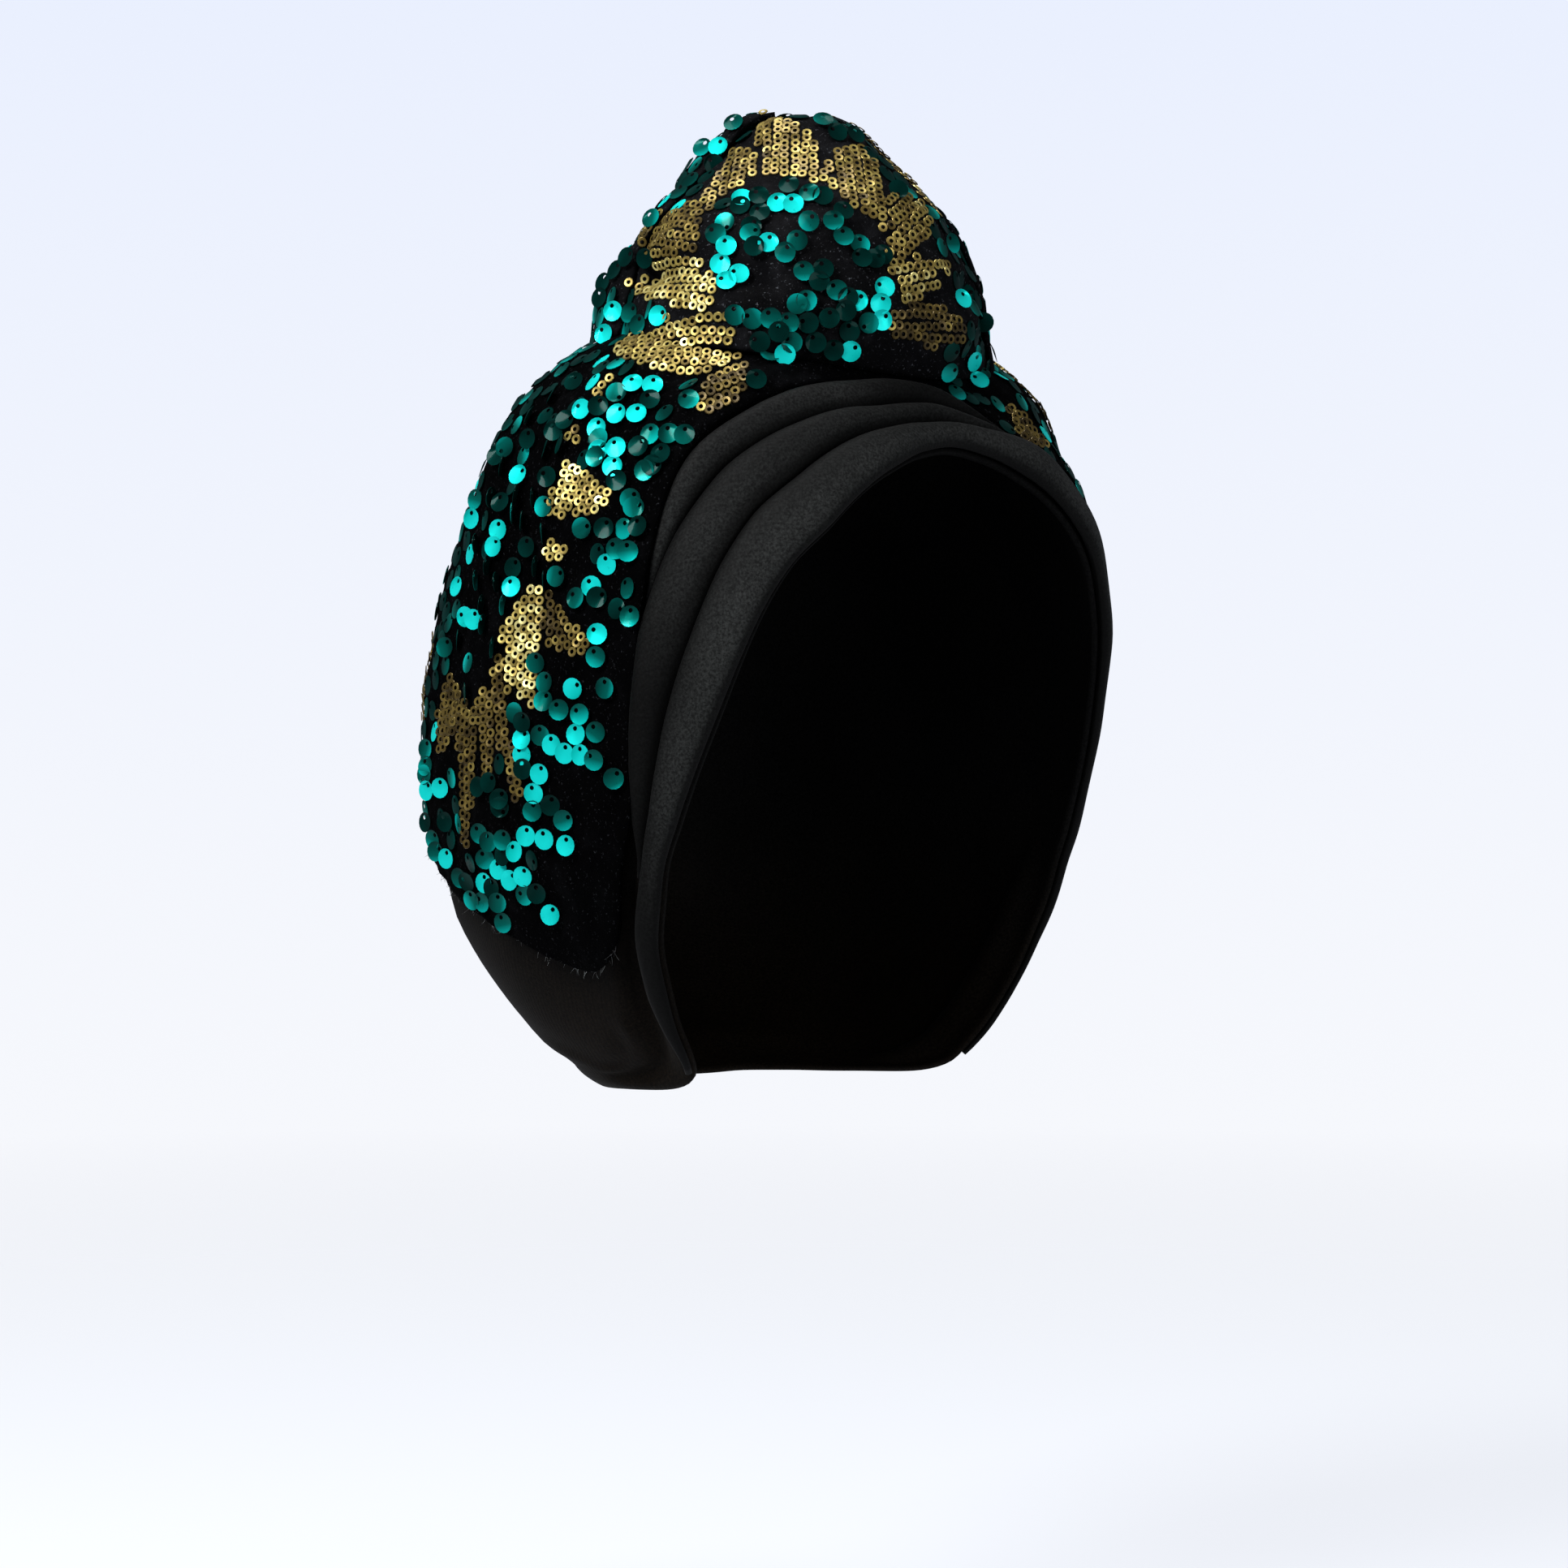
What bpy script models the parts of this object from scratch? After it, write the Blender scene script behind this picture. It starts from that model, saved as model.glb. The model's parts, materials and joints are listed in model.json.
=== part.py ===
"""Ready-made head tie in its worn form: a knit cap with a folded band along the
face, a sequin velvet sheet over the crown and back, and a padded knot on top.

Metres, +Z up. The origin is where the crown of the head meets the cap, the
wearer faces -Y, and +X is the wearer's left.
"""
import bisect
import math

import bmesh
import bpy
from mathutils import Vector

# Overall reaches of the worn cloth, measured from the origin
CAP_DROP = 0.2025
SIDE_REACH = 0.0825
FRONT_REACH = 0.0965
BACK_REACH = 0.0935
CORNER_POWER = 2.5

# Cloth, and the air kept between the cap and the velvet and under each fold
CAP_CLOTH = 0.0020
VELVET_CLOTH = 0.0018
LAYER_GAP = 0.0007
SEAT_GAP = 0.0005

# Folded band: its width, each fold's thickness in the middle and at its
# edges, its narrowest width, and the way from the last fold to the velvet
BAND_WIDTH = 0.038
FOLD_THICKNESS = 0.0048
FOLD_EDGE = 0.0009
NARROWEST_FOLD = 0.0016
BAND_CLEARANCE = 0.0018

# Groove of the nape pouch behind the narrow rim at the face: its size, and
# where it lies along the cap's edge from the nape
POUCH_GROOVE_DEPTH = 0.0040
POUCH_GROOVE_PLACE = 0.0095
POUCH_GROOVE_WIDTH = 0.0036
POUCH_GROOVE_RUN = 0.185
POUCH_GROOVE_SPAN = 0.075

# Knot, with the air between its dome and its lobe and under both
KNOT_HEIGHT = 0.0575
KNOT_SIDE = 0.0480
KNOT_FRONT = 0.0490
KNOT_BACK = 0.0430
KNOT_FORWARD = 0.0095
LOBE_THICKNESS = 0.0086
LOBE_EDGE = 0.0012
LOBE_GAP = 0.0009
KNOT_SEAT = 0.0012

# How many halvings find a place on a face, and the short step and the small
# part of a run that a slope is measured over
HALVINGS = 26
SLOPE_STEP = 0.0008
RUN_STEP = 0.002

# How finely the surfaces are faceted
CAP_COLUMNS = 44
VELVET_COLUMNS = 48
FOLD_MARKS = 66
KNOT_COLUMNS = 36

# The middle of the head, from which every surface is seen whole, and the
# direction up and back that the sheets spread out from
HEAD_MIDDLE = Vector((0.0, 0.08 * BACK_REACH, -0.49 * CAP_DROP))
SPREAD_FROM = Vector((0.0, 0.82, 0.57)).normalized()

# Level sections of the cap's outer face: drop below the crown as a share of
# CAP_DROP, then shares of SIDE_REACH, FRONT_REACH and BACK_REACH
CAP_SECTIONS = (
    # drop, side, front, back
    (-0.010, 0.00, 0.00, 0.00),
    (0.000, 0.24, 0.20, 0.18),
    (0.020, 0.41, 0.34, 0.32),
    (0.044, 0.53, 0.445, 0.385),
    (0.077, 0.64, 0.52, 0.45),
    (0.104, 0.725, 0.57, 0.50),
    (0.141, 0.80, 0.632, 0.572),
    (0.189, 0.85, 0.715, 0.652),
    (0.242, 0.885, 0.788, 0.717),
    (0.296, 0.91, 0.845, 0.78),
    (0.350, 0.927, 0.88, 0.85),
    (0.405, 0.94, 0.907, 0.904),
    (0.469, 0.945, 0.922, 0.945),
    (0.553, 0.951, 0.922, 0.969),
    (0.652, 0.945, 0.90, 0.956),
    (0.704, 0.931, 0.88, 0.925),
    (0.758, 0.905, 0.86, 0.903),
    (0.811, 0.86, 0.82, 0.84),
    (0.860, 0.80, 0.767, 0.766),
    (0.906, 0.727, 0.705, 0.68),
    (0.946, 0.642, 0.642, 0.558),
    (0.978, 0.57, 0.59, 0.47),
    (0.998, 0.47, 0.54, 0.384),
    (1.003, 0.30, 0.35, 0.25),
)

# The same for the velvet's outer face, which stands away from the cap like a
# tent under the knot
VELVET_SECTIONS = (
    # drop, side, front, back
    (-0.030, 0.00, 0.00, 0.00),
    (-0.022, 0.22, 0.165, 0.17),
    (-0.007, 0.41, 0.31, 0.34),
    (0.010, 0.545, 0.405, 0.46),
    (0.030, 0.63, 0.45, 0.524),
    (0.054, 0.703, 0.505, 0.556),
    (0.077, 0.776, 0.553, 0.567),
    (0.104, 0.842, 0.602, 0.588),
    (0.141, 0.897, 0.663, 0.626),
    (0.189, 0.933, 0.747, 0.685),
    (0.242, 0.958, 0.834, 0.754),
    (0.296, 0.973, 0.896, 0.815),
    (0.350, 0.985, 0.943, 0.888),
    (0.405, 0.994, 0.964, 0.941),
    (0.469, 1.00, 0.974, 0.982),
    (0.553, 1.00, 0.974, 1.005),
    (0.652, 0.988, 0.953, 0.992),
    (0.704, 0.967, 0.933, 0.958),
    (0.758, 0.940, 0.90, 0.935),
    (0.811, 0.895, 0.86, 0.87),
    (0.860, 0.835, 0.81, 0.80),
)
# How much fuller the velvet's shoulder is on the wearer's left
LEFT_SHOULDER = (
    # drop, more
    (-0.030, 0.00),
    (-0.007, 0.12),
    (0.030, 0.30),
    (0.054, 0.30),
    (0.077, 0.23),
    (0.104, 0.14),
    (0.141, 0.07),
    (0.189, 0.03),
    (0.242, 0.00),
)

# Edge of the cap from the middle of the forehead round to the nape: degrees
# turned from straight ahead, and drop as a share of CAP_DROP
FACE_EDGE = (
    # turn, drop
    (0, 0.173),
    (10, 0.182),
    (20, 0.207),
    (33, 0.274),
    (40.5, 0.328),
    (45, 0.382),
    (48.5, 0.440),
    (52, 0.505),
    (56.5, 0.586),
    (59.5, 0.643),
    (62, 0.689),
    (63.5, 0.742),
    (65, 0.795),
    (65, 0.845),
    (65, 0.890),
    (64.5, 0.935),
    (66, 0.964),
    (76, 0.980),
    (100, 0.986),
    (125, 0.988),
    (150, 0.988),
    (180, 0.988),
)

# Hem of the velvet, the same way on both sides, from below the ear round to
# the back of the head. In front of it the velvet's edge follows the band.
VELVET_HEM = (
    # turn, drop
    (71, 0.700),
    (73, 0.770),
    (78, 0.808),
    (85, 0.815),
    (94, 0.797),
    (110, 0.765),
    (134, 0.693),
    (157, 0.655),
    (180, 0.645),
)
# The stretch of the cap's edge where the velvet follows the band, and how
# many marks its edge takes there
BAND_STRETCH = (0.270, 0.740)
BAND_MARKS = 22

# Widths of the three folds along the cap's edge, as shares of BAND_WIDTH.
# The run is 0 at the nape, 0.5 at the forehead's middle after the wearer's
# right side, and 1 at the nape again after the left side.
FOLD_WIDTHS = (
    # run, lower, middle, upper
    (0.14, 0.09, 0.00, 0.00),
    (0.17, 0.11, 0.00, 0.00),
    (0.21, 0.12, 0.00, 0.00),
    (0.25, 0.13, 0.06, 0.00),
    (0.27, 0.18, 0.15, 0.00),
    (0.29, 0.25, 0.25, 0.00),
    (0.31, 0.32, 0.315, 0.00),
    (0.33, 0.36, 0.40, 0.03),
    (0.35, 0.385, 0.41, 0.105),
    (0.37, 0.40, 0.39, 0.185),
    (0.39, 0.40, 0.36, 0.235),
    (0.41, 0.385, 0.335, 0.235),
    (0.43, 0.345, 0.27, 0.235),
    (0.45, 0.29, 0.22, 0.225),
    (0.475, 0.215, 0.175, 0.195),
    (0.50, 0.175, 0.15, 0.155),
    (0.52, 0.20, 0.12, 0.09),
    (0.54, 0.29, 0.065, 0.025),
    (0.57, 0.37, 0.00, 0.00),
    (0.63, 0.37, 0.00, 0.00),
    (0.70, 0.31, 0.00, 0.00),
    (0.78, 0.20, 0.00, 0.00),
    (0.83, 0.12, 0.00, 0.00),
    (0.86, 0.09, 0.00, 0.00),
)
# Where each fold starts and ends along that run
FOLD_SPANS = {
    "band_fold_lower": (0.145, 0.855),
    "band_fold_middle": (0.245, 0.555),
    "band_fold_upper": (0.335, 0.545),
}

# Distances of the cap's rows from its edge, as shares of the way to the back
CAP_ROWS = (0.0, 0.022, 0.045, 0.07, 0.10, 0.145, 0.21, 0.29, 0.38, 0.48, 0.58, 0.68, 0.78, 0.88, 0.95)
VELVET_ROWS = (0.0, 0.03, 0.09, 0.16, 0.23, 0.30, 0.37, 0.44, 0.51, 0.58, 0.66, 0.75, 0.85, 0.94)
# Places across a fold, over its round outside and back along its flat inside
FOLD_OUTSIDE = (0.0, 0.12, 0.36, 0.64, 0.88, 1.0)
FOLD_INSIDE = (1.0, 0.5, 0.0)
# Rows of the dome on the way from its top to its foot, and of the base under
# it on the way from the middle to its rim
DOME_ROWS = (0.10, 0.22, 0.34, 0.46, 0.57, 0.67, 0.76, 0.84, 0.91, 0.96, 1.0)
BASE_ROWS = (0.86, 0.62, 0.36, 0.12)

# Sections of the knot's dome, each at a share of KNOT_HEIGHT above the crown
KNOT_SECTIONS = (
    # rise, side, front, back
    (1.00, 0.00, 0.00, 0.00),
    (0.97, 0.19, 0.20, 0.16),
    (0.91, 0.32, 0.34, 0.27),
    (0.78, 0.45, 0.49, 0.39),
    (0.62, 0.63, 0.67, 0.57),
    (0.47, 0.80, 0.83, 0.76),
    (0.30, 0.92, 0.92, 0.91),
    (0.08, 0.99, 0.99, 1.00),
    (-0.05, 1.03, 0.99, 1.00),
    (-0.19, 1.12, 0.95, 1.00),
    (-0.30, 1.08, 0.88, 0.95),
    (-0.42, 0.90, 0.75, 0.80),
)
KNOT_CORNER_POWER = 2.1

# The lobe behind the dome: its thickness as shares of LOBE_THICKNESS, by its
# lift in degrees above the level of the crown and by its bearing in degrees
# from straight ahead round by the wearer's right
LOBE_BY_LIFT = (
    # lift, thickness
    (-12, 0.75),
    (8, 0.60),
    (24, 0.25),
    (35, 0.12),
    (46, 0.34),
    (56, 0.62),
    (66, 0.66),
    (75, 0.42),
    (84, 0.00),
)
LOBE_BY_TURN = (
    # turn, thickness
    (110, 0.00),
    (118, 0.62),
    (128, 1.00),
    (200, 1.00),
    (250, 0.50),
    (290, 0.15),
    (316, 0.00),
)
LOBE_TOP_LIFT = 84
LOBE_COLUMNS = 24
LOBE_ROWS = 11

# Creases pressed into the dome: each runs between two bearings, in degrees
# from straight ahead towards the wearer's right, and two heights above the
# crown as shares of KNOT_HEIGHT
KNOT_CREASES = (
    # from_turn, from_rise, to_turn, to_rise, depth, width
    (102, 0.20, 56, 0.04, 0.0032, 0.0042),
    (-32, 0.17, 14, 0.02, 0.0030, 0.0045),
    (20, 0.34, 2, 0.12, 0.0012, 0.0060),
)


def between_rows(rows, at):
    """The values at one place in a table, with no overshoot between its rows."""
    places = [row[0] for row in rows]
    if places[0] > places[-1]:
        rows = rows[::-1]
        places = places[::-1]
    at = min(max(at, places[0]), places[-1])
    low = min(bisect.bisect_right(places, at) - 1, len(rows) - 2)
    step = places[low + 1] - places[low]
    share = (at - places[low]) / step

    def slope(index, column):
        if index == 0 or index == len(rows) - 1:
            return 0.0 if index else rise(0, column)
        before = rise(index - 1, column)
        after = rise(index, column)
        if before * after <= 0:
            return 0.0
        return 2 * before * after / (before + after)

    def rise(index, column):
        return (rows[index + 1][column] - rows[index][column]) / (places[index + 1] - places[index])

    values = []
    for column in range(1, len(rows[0])):
        start, end = rows[low][column], rows[low + 1][column]
        leave = slope(low, column) * step
        arrive = slope(low + 1, column) * step
        values.append(
            start * (1 + 2 * share) * (1 - share) ** 2
            + leave * share * (1 - share) ** 2
            + end * share**2 * (3 - 2 * share)
            + arrive * share**2 * (share - 1)
        )
    return values


def fullness(point, sections, reaches, drop_unit, power):
    """Below 1 inside a sectioned form, 1 on its face and above 1 outside it."""
    drop = -point.z / drop_unit
    low, high = sorted((sections[0][0], sections[-1][0]))
    if not low < drop < high:
        return 2.0
    side, front, back = between_rows(sections, drop)
    if sections is VELVET_SECTIONS and point.x > 0:
        side *= 1 + between_rows(LEFT_SHOULDER, drop)[0]
    side_size = max(side * reaches[0], 1e-5)
    depth_size = max((front * reaches[1]) if point.y < 0 else (back * reaches[2]), 1e-5)
    total = abs(point.x / side_size) ** power + abs(point.y / depth_size) ** power
    return total ** (1 / power)


def reach_along(start, heading, is_inside):
    """The distance from a start point to a form's face, found by halving."""
    near, far = 0.0, CAP_DROP
    for _ in range(HALVINGS):
        middle = (near + far) / 2
        if is_inside(start + heading * middle):
            near = middle
        else:
            far = middle
    return near


def inside_cap(point):
    reaches = (SIDE_REACH, FRONT_REACH, BACK_REACH)
    return fullness(point, CAP_SECTIONS, reaches, CAP_DROP, CORNER_POWER) < 1


def inside_velvet(point):
    reaches = (SIDE_REACH, FRONT_REACH, BACK_REACH)
    return fullness(point, VELVET_SECTIONS, reaches, CAP_DROP, CORNER_POWER) < 1


def on_section(sections, turn, drop):
    """A point on a sectioned face, from its bearing in degrees and its drop."""
    side, front, back = between_rows(sections, drop)
    if sections is VELVET_SECTIONS and turn < 0:
        side *= 1 + between_rows(LEFT_SHOULDER, drop)[0]
    across = math.sin(math.radians(turn))
    ahead = math.cos(math.radians(turn))
    depth_size = front * FRONT_REACH if ahead > 0 else back * BACK_REACH
    size = (
        abs(across / (side * SIDE_REACH)) ** CORNER_POWER
        + abs(ahead / depth_size) ** CORNER_POWER
    ) ** (-1 / CORNER_POWER)
    return Vector((-across * size, -ahead * size, -drop * CAP_DROP))


def edge_sides(sections, rows):
    """The points of a table of edge rows, on the wearer's right and left."""
    right = [on_section(sections, turn, drop) for turn, drop in rows]
    left = [on_section(sections, -turn, drop) for turn, drop in rows]
    return right, left


def run_marks(points):
    """Each edge point's run: 0 at the nape, 0.5 at the forehead, 1 at the nape."""
    middle = max(range(len(points)), key=lambda index: -points[index].y - 3 * abs(points[index].x))
    lengths = [0.0]
    for before, after in zip(points, points[1:]):
        lengths.append(lengths[-1] + (after - before).length)
    half, whole = lengths[middle], lengths[-1]
    marks = []
    for length in lengths:
        if length <= half:
            marks.append(0.5 * length / half)
        else:
            marks.append(0.5 + 0.5 * (length - half) / (whole - half))
    return [(mark, *point) for mark, point in zip(marks, points)]


CAP_RIGHT, CAP_LEFT = edge_sides(CAP_SECTIONS, FACE_EDGE)
CAP_EDGE = run_marks(CAP_RIGHT[::-1] + CAP_LEFT[1:])


def heading_between(start, end, share):
    """A direction on the arc between two others."""
    angle = start.angle(end)
    first = math.sin((1 - share) * angle) / math.sin(angle)
    second = math.sin(share * angle) / math.sin(angle)
    return (start * first + end * second).normalized()


def pouch_groove(run, inward):
    """How deep the groove behind the rim is, low down in front of the pouch."""
    lowness = max(0.0, 1 - abs(min(run, 1 - run) - POUCH_GROOVE_RUN) / POUCH_GROOVE_SPAN)
    softened = lowness**2 * (3 - 2 * lowness)
    off_line = (inward - POUCH_GROOVE_PLACE) / POUCH_GROOVE_WIDTH
    return -POUCH_GROOVE_DEPTH * softened * math.exp(-(off_line**2))


def cap_point(run, inward):
    """A point on the cap's outer face, a distance in from its edge."""
    edge = Vector(between_rows(CAP_EDGE, run)) - HEAD_MIDDLE
    angle = edge.angle(SPREAD_FROM)
    share = min(inward / (angle * edge.length), 1.0)
    heading = heading_between(edge.normalized(), SPREAD_FROM, share)
    size = reach_along(HEAD_MIDDLE, heading, inside_cap)
    return HEAD_MIDDLE + heading * (size + pouch_groove(run, inward))


def cap_way_back(run):
    edge = Vector(between_rows(CAP_EDGE, run)) - HEAD_MIDDLE
    return edge.angle(SPREAD_FROM) * edge.length


def cap_outward(run, inward):
    """The direction straight out of the cap's face."""
    start = max(inward, SLOPE_STEP)
    along = cap_point(run + RUN_STEP, start) - cap_point(run - RUN_STEP, start)
    across = cap_point(run, start + SLOPE_STEP) - cap_point(run, start - SLOPE_STEP)
    outward = along.cross(across).normalized()
    away = cap_point(run, start) - HEAD_MIDDLE
    return outward if outward.dot(away) > 0 else -outward


def on_velvet(heading):
    """A point on the velvet's outer face, which always clears the cap."""
    over_cap = reach_along(HEAD_MIDDLE, heading, inside_cap) + LAYER_GAP + VELVET_CLOTH
    return HEAD_MIDDLE + heading * max(reach_along(HEAD_MIDDLE, heading, inside_velvet), over_cap)


def fold_widths(run):
    return [share * BAND_WIDTH for share in between_rows(FOLD_WIDTHS, run)]


def behind_band(run):
    """A point on the velvet just behind the band's last fold."""
    edge = Vector(between_rows(CAP_EDGE, run)) - HEAD_MIDDLE
    inset = sum(fold_widths(run)) + BAND_CLEARANCE
    share = inset / (edge.angle(SPREAD_FROM) * edge.length)
    return on_velvet(heading_between(edge.normalized(), SPREAD_FROM, share))


def velvet_edge():
    """The velvet's edge from the nape by the wearer's right and back by the left."""
    right, left = edge_sides(VELVET_SECTIONS, VELVET_HEM)
    start, end = BAND_STRETCH
    band = [behind_band(start + (end - start) * mark / BAND_MARKS) for mark in range(BAND_MARKS + 1)]
    return run_marks(right[::-1] + band + left)


VELVET_EDGE = velvet_edge()


def velvet_point(run, share):
    """A point on the velvet's outer face, a share of the way to the back."""
    edge = (Vector(between_rows(VELVET_EDGE, run)) - HEAD_MIDDLE).normalized()
    return on_velvet(heading_between(edge, SPREAD_FROM, share))


def velvet_top(x, y):
    """The height of the velvet's outer face above a point, near the crown."""
    low, high = -0.35 * CAP_DROP, 0.03 * CAP_DROP
    for _ in range(HALVINGS):
        middle = (low + high) / 2
        if inside_velvet(Vector((x, y, middle))):
            low = middle
        else:
            high = middle
    return low


def material(name, colour, roughness):
    made = bpy.data.materials.new(name)
    made.use_nodes = True
    shader = made.node_tree.nodes["Principled BSDF"]
    shader.inputs["Base Color"].default_value = (*colour, 1)
    shader.inputs["Roughness"].default_value = roughness
    shader.inputs["Metallic"].default_value = 0
    return made


def piece(name, points, faces, finish, closed=True):
    """An object in the head tie's collection, shaded smooth."""
    mesh = bpy.data.meshes.new(name)
    mesh.from_pydata([tuple(point) for point in points], [], faces)
    if closed:
        body = bmesh.new()
        body.from_mesh(mesh)
        bmesh.ops.recalc_face_normals(body, faces=body.faces)
        body.to_mesh(mesh)
        body.free()
    mesh.materials.append(finish)
    mesh.shade_smooth()
    made = bpy.data.objects.new(name, mesh)
    bpy.data.collections["head_tie"].objects.link(made)
    return made


def ring_faces(rings, columns, closed=True):
    """Quads between rings of points that run the same way round."""
    faces = []
    for ring in range(rings - 1):
        for column in range(columns if closed else columns - 1):
            after = (column + 1) % columns
            near = ring * columns
            far = near + columns
            faces.append((near + column, near + after, far + after, far + column))
    return faces


def turned_out(points, faces, middle):
    """The same faces, each with its front away from the middle."""
    turned = []
    for face in faces:
        corners = [points[index] for index in face]
        normal = (corners[1] - corners[0]).cross(corners[2] - corners[1])
        centre = sum(corners, Vector()) / len(corners)
        turned.append(face if normal.dot(centre - middle) > 0 else face[::-1])
    return turned


def sheet(name, rings, last, cloth, finish):
    """A hollow sheet of cloth: rings from its edge, closed by a last point."""
    columns = len(rings[0])
    points = [point for ring in rings for point in ring] + [last]
    faces = ring_faces(len(rings), columns)
    start = (len(rings) - 1) * columns
    for column in range(columns):
        faces.append((start + column, start + (column + 1) % columns, len(points) - 1))
    made = piece(name, points, turned_out(points, faces, HEAD_MIDDLE), finish, closed=False)
    wall = made.modifiers.new("cloth", "SOLIDIFY")
    wall.thickness = cloth
    wall.offset = -1
    wall.use_even_offset = True
    return made


def inner_cap(finish):
    rings = []
    for share in CAP_ROWS:
        ring = []
        for column in range(CAP_COLUMNS):
            run = column / CAP_COLUMNS
            ring.append(cap_point(run, share * cap_way_back(run)))
        rings.append(ring)
    last = HEAD_MIDDLE + SPREAD_FROM * reach_along(HEAD_MIDDLE, SPREAD_FROM, inside_cap)
    return sheet("inner_cap", rings, last, CAP_CLOTH, finish)


def velvet_overlay(finish):
    rings = []
    for share in VELVET_ROWS:
        rings.append([velvet_point(column / VELVET_COLUMNS, share) for column in range(VELVET_COLUMNS)])
    return sheet("velvet_overlay", rings, on_velvet(SPREAD_FROM), VELVET_CLOTH, finish)


def fold_section(run, inner_edge, width, thickness):
    """A closed ring round one fold: flat against the cap and round outside."""
    ring = []
    for place in FOLD_OUTSIDE:
        inward = inner_edge + place * width
        bulge = FOLD_EDGE + (thickness - FOLD_EDGE) * math.sin(math.pi * place) ** 0.6
        ring.append(cap_point(run, inward) + cap_outward(run, inward) * (SEAT_GAP + bulge))
    for place in FOLD_INSIDE:
        inward = inner_edge + place * width
        ring.append(cap_point(run, inward) + cap_outward(run, inward) * SEAT_GAP)
    return ring


def fold(name, order, finish):
    """One soft fold of the band, lying on the cap beside the fold before it."""
    start, end = FOLD_SPANS[name]
    rings = []
    shared = [mark / FOLD_MARKS for mark in range(FOLD_MARKS)]
    margin = 0.3 / FOLD_MARKS
    runs = [start] + [run for run in shared if start + margin < run < end - margin] + [end]
    for run in runs:
        share = (run - start) / (end - start)
        widths = fold_widths(run)
        inner_edge = sum(widths[:order]) + order * SEAT_GAP
        width = max(widths[order], NARROWEST_FOLD)
        taper = min(1.0, 6 * share, 6 * (1 - share))
        slimming = min(1.0, width / (0.25 * BAND_WIDTH))
        thickness = FOLD_EDGE + (FOLD_THICKNESS - FOLD_EDGE) * math.sqrt(taper * slimming)
        rings.append(fold_section(run, inner_edge, width, thickness))
    columns = len(rings[0])
    points = [point for ring in rings for point in ring]
    faces = ring_faces(len(rings), columns)
    faces.append(tuple(range(columns))[::-1])
    faces.append(tuple(range(len(points) - columns, len(points))))
    return piece(name, points, faces, finish)


KNOT_MIDDLE = Vector((0.0, -KNOT_FORWARD, 0.0))


def knot_place(turn, rise):
    """A point on the dome's smooth form, from its bearing and its height."""
    side, front, back = between_rows(KNOT_SECTIONS, rise)
    across = math.sin(math.radians(turn))
    ahead = math.cos(math.radians(turn))
    depth_size = front * KNOT_FRONT if ahead > 0 else back * KNOT_BACK
    size = (
        abs(across / (side * KNOT_SIDE)) ** KNOT_CORNER_POWER
        + abs(ahead / depth_size) ** KNOT_CORNER_POWER
    ) ** (-1 / KNOT_CORNER_POWER)
    return KNOT_MIDDLE + Vector((-across * size, -ahead * size, rise * KNOT_HEIGHT))


def crease_depth(point):
    """How far the creases press the dome in at one point."""
    depth = 0.0
    for from_turn, from_rise, to_turn, to_rise, deepest, width in KNOT_CREASES:
        start = knot_place(from_turn, from_rise)
        along = knot_place(to_turn, to_rise) - start
        share = min(max((point - start).dot(along) / along.length_squared, 0.0), 1.0)
        distance = (point - start - along * share).length
        depth += deepest * (1 - 0.6 * share) * math.exp(-((distance / width) ** 2))
    return depth


def inside_dome(point):
    from_middle = point - KNOT_MIDDLE
    reaches = (KNOT_SIDE, KNOT_FRONT, KNOT_BACK)
    rows = [(-row[0], *row[1:]) for row in KNOT_SECTIONS]
    return fullness(from_middle, rows, reaches, KNOT_HEIGHT, KNOT_CORNER_POWER) < 1


def dome_point(heading):
    """A point on the dome's face, seen from the knot's middle."""
    size = reach_along(KNOT_MIDDLE, heading, inside_dome)
    return KNOT_MIDDLE + heading * (size - crease_depth(KNOT_MIDDLE + heading * size))


def knot_heading(turn, lift):
    across = math.sin(math.radians(turn))
    ahead = math.cos(math.radians(turn))
    level = math.cos(math.radians(lift))
    return Vector((-across * level, -ahead * level, math.sin(math.radians(lift))))


def seat_lift(turn, face_point):
    """The lowest lift, in degrees, at which a face still clears the velvet."""
    low, high = -60.0, 60.0
    for _ in range(HALVINGS):
        middle = (low + high) / 2
        point = face_point(knot_heading(turn, middle))
        if point.z > velvet_top(point.x, point.y) + KNOT_SEAT:
            high = middle
        else:
            low = middle
    return high


def knot_front(finish):
    """The dome: rings from its top down to the velvet, then a base on it."""
    turns = [360 * column / KNOT_COLUMNS for column in range(KNOT_COLUMNS)]
    lowest = [seat_lift(turn, dome_point) for turn in turns]
    rings = []
    for share in DOME_ROWS:
        rings.append(
            [dome_point(knot_heading(turn, 90 - (90 - lift) * share)) for turn, lift in zip(turns, lowest)]
        )
    rim = rings[-1]
    for share in BASE_ROWS:
        ring = []
        for point in rim:
            x = KNOT_MIDDLE.x + (point.x - KNOT_MIDDLE.x) * share
            y = KNOT_MIDDLE.y + (point.y - KNOT_MIDDLE.y) * share
            ring.append(Vector((x, y, velvet_top(x, y) + KNOT_SEAT)))
        rings.append(ring)
    points = [point for ring in rings for point in ring]
    faces = ring_faces(len(rings), KNOT_COLUMNS)
    top = dome_point(Vector((0, 0, 1)))
    foot = Vector((KNOT_MIDDLE.x, KNOT_MIDDLE.y, velvet_top(KNOT_MIDDLE.x, KNOT_MIDDLE.y) + KNOT_SEAT))
    points += [top, foot]
    last = (len(rings) - 1) * KNOT_COLUMNS
    for column in range(KNOT_COLUMNS):
        after = (column + 1) % KNOT_COLUMNS
        faces.append((after, column, len(points) - 2))
        faces.append((last + column, last + after, len(points) - 1))
    return piece("knot_front", points, faces, finish)


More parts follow.
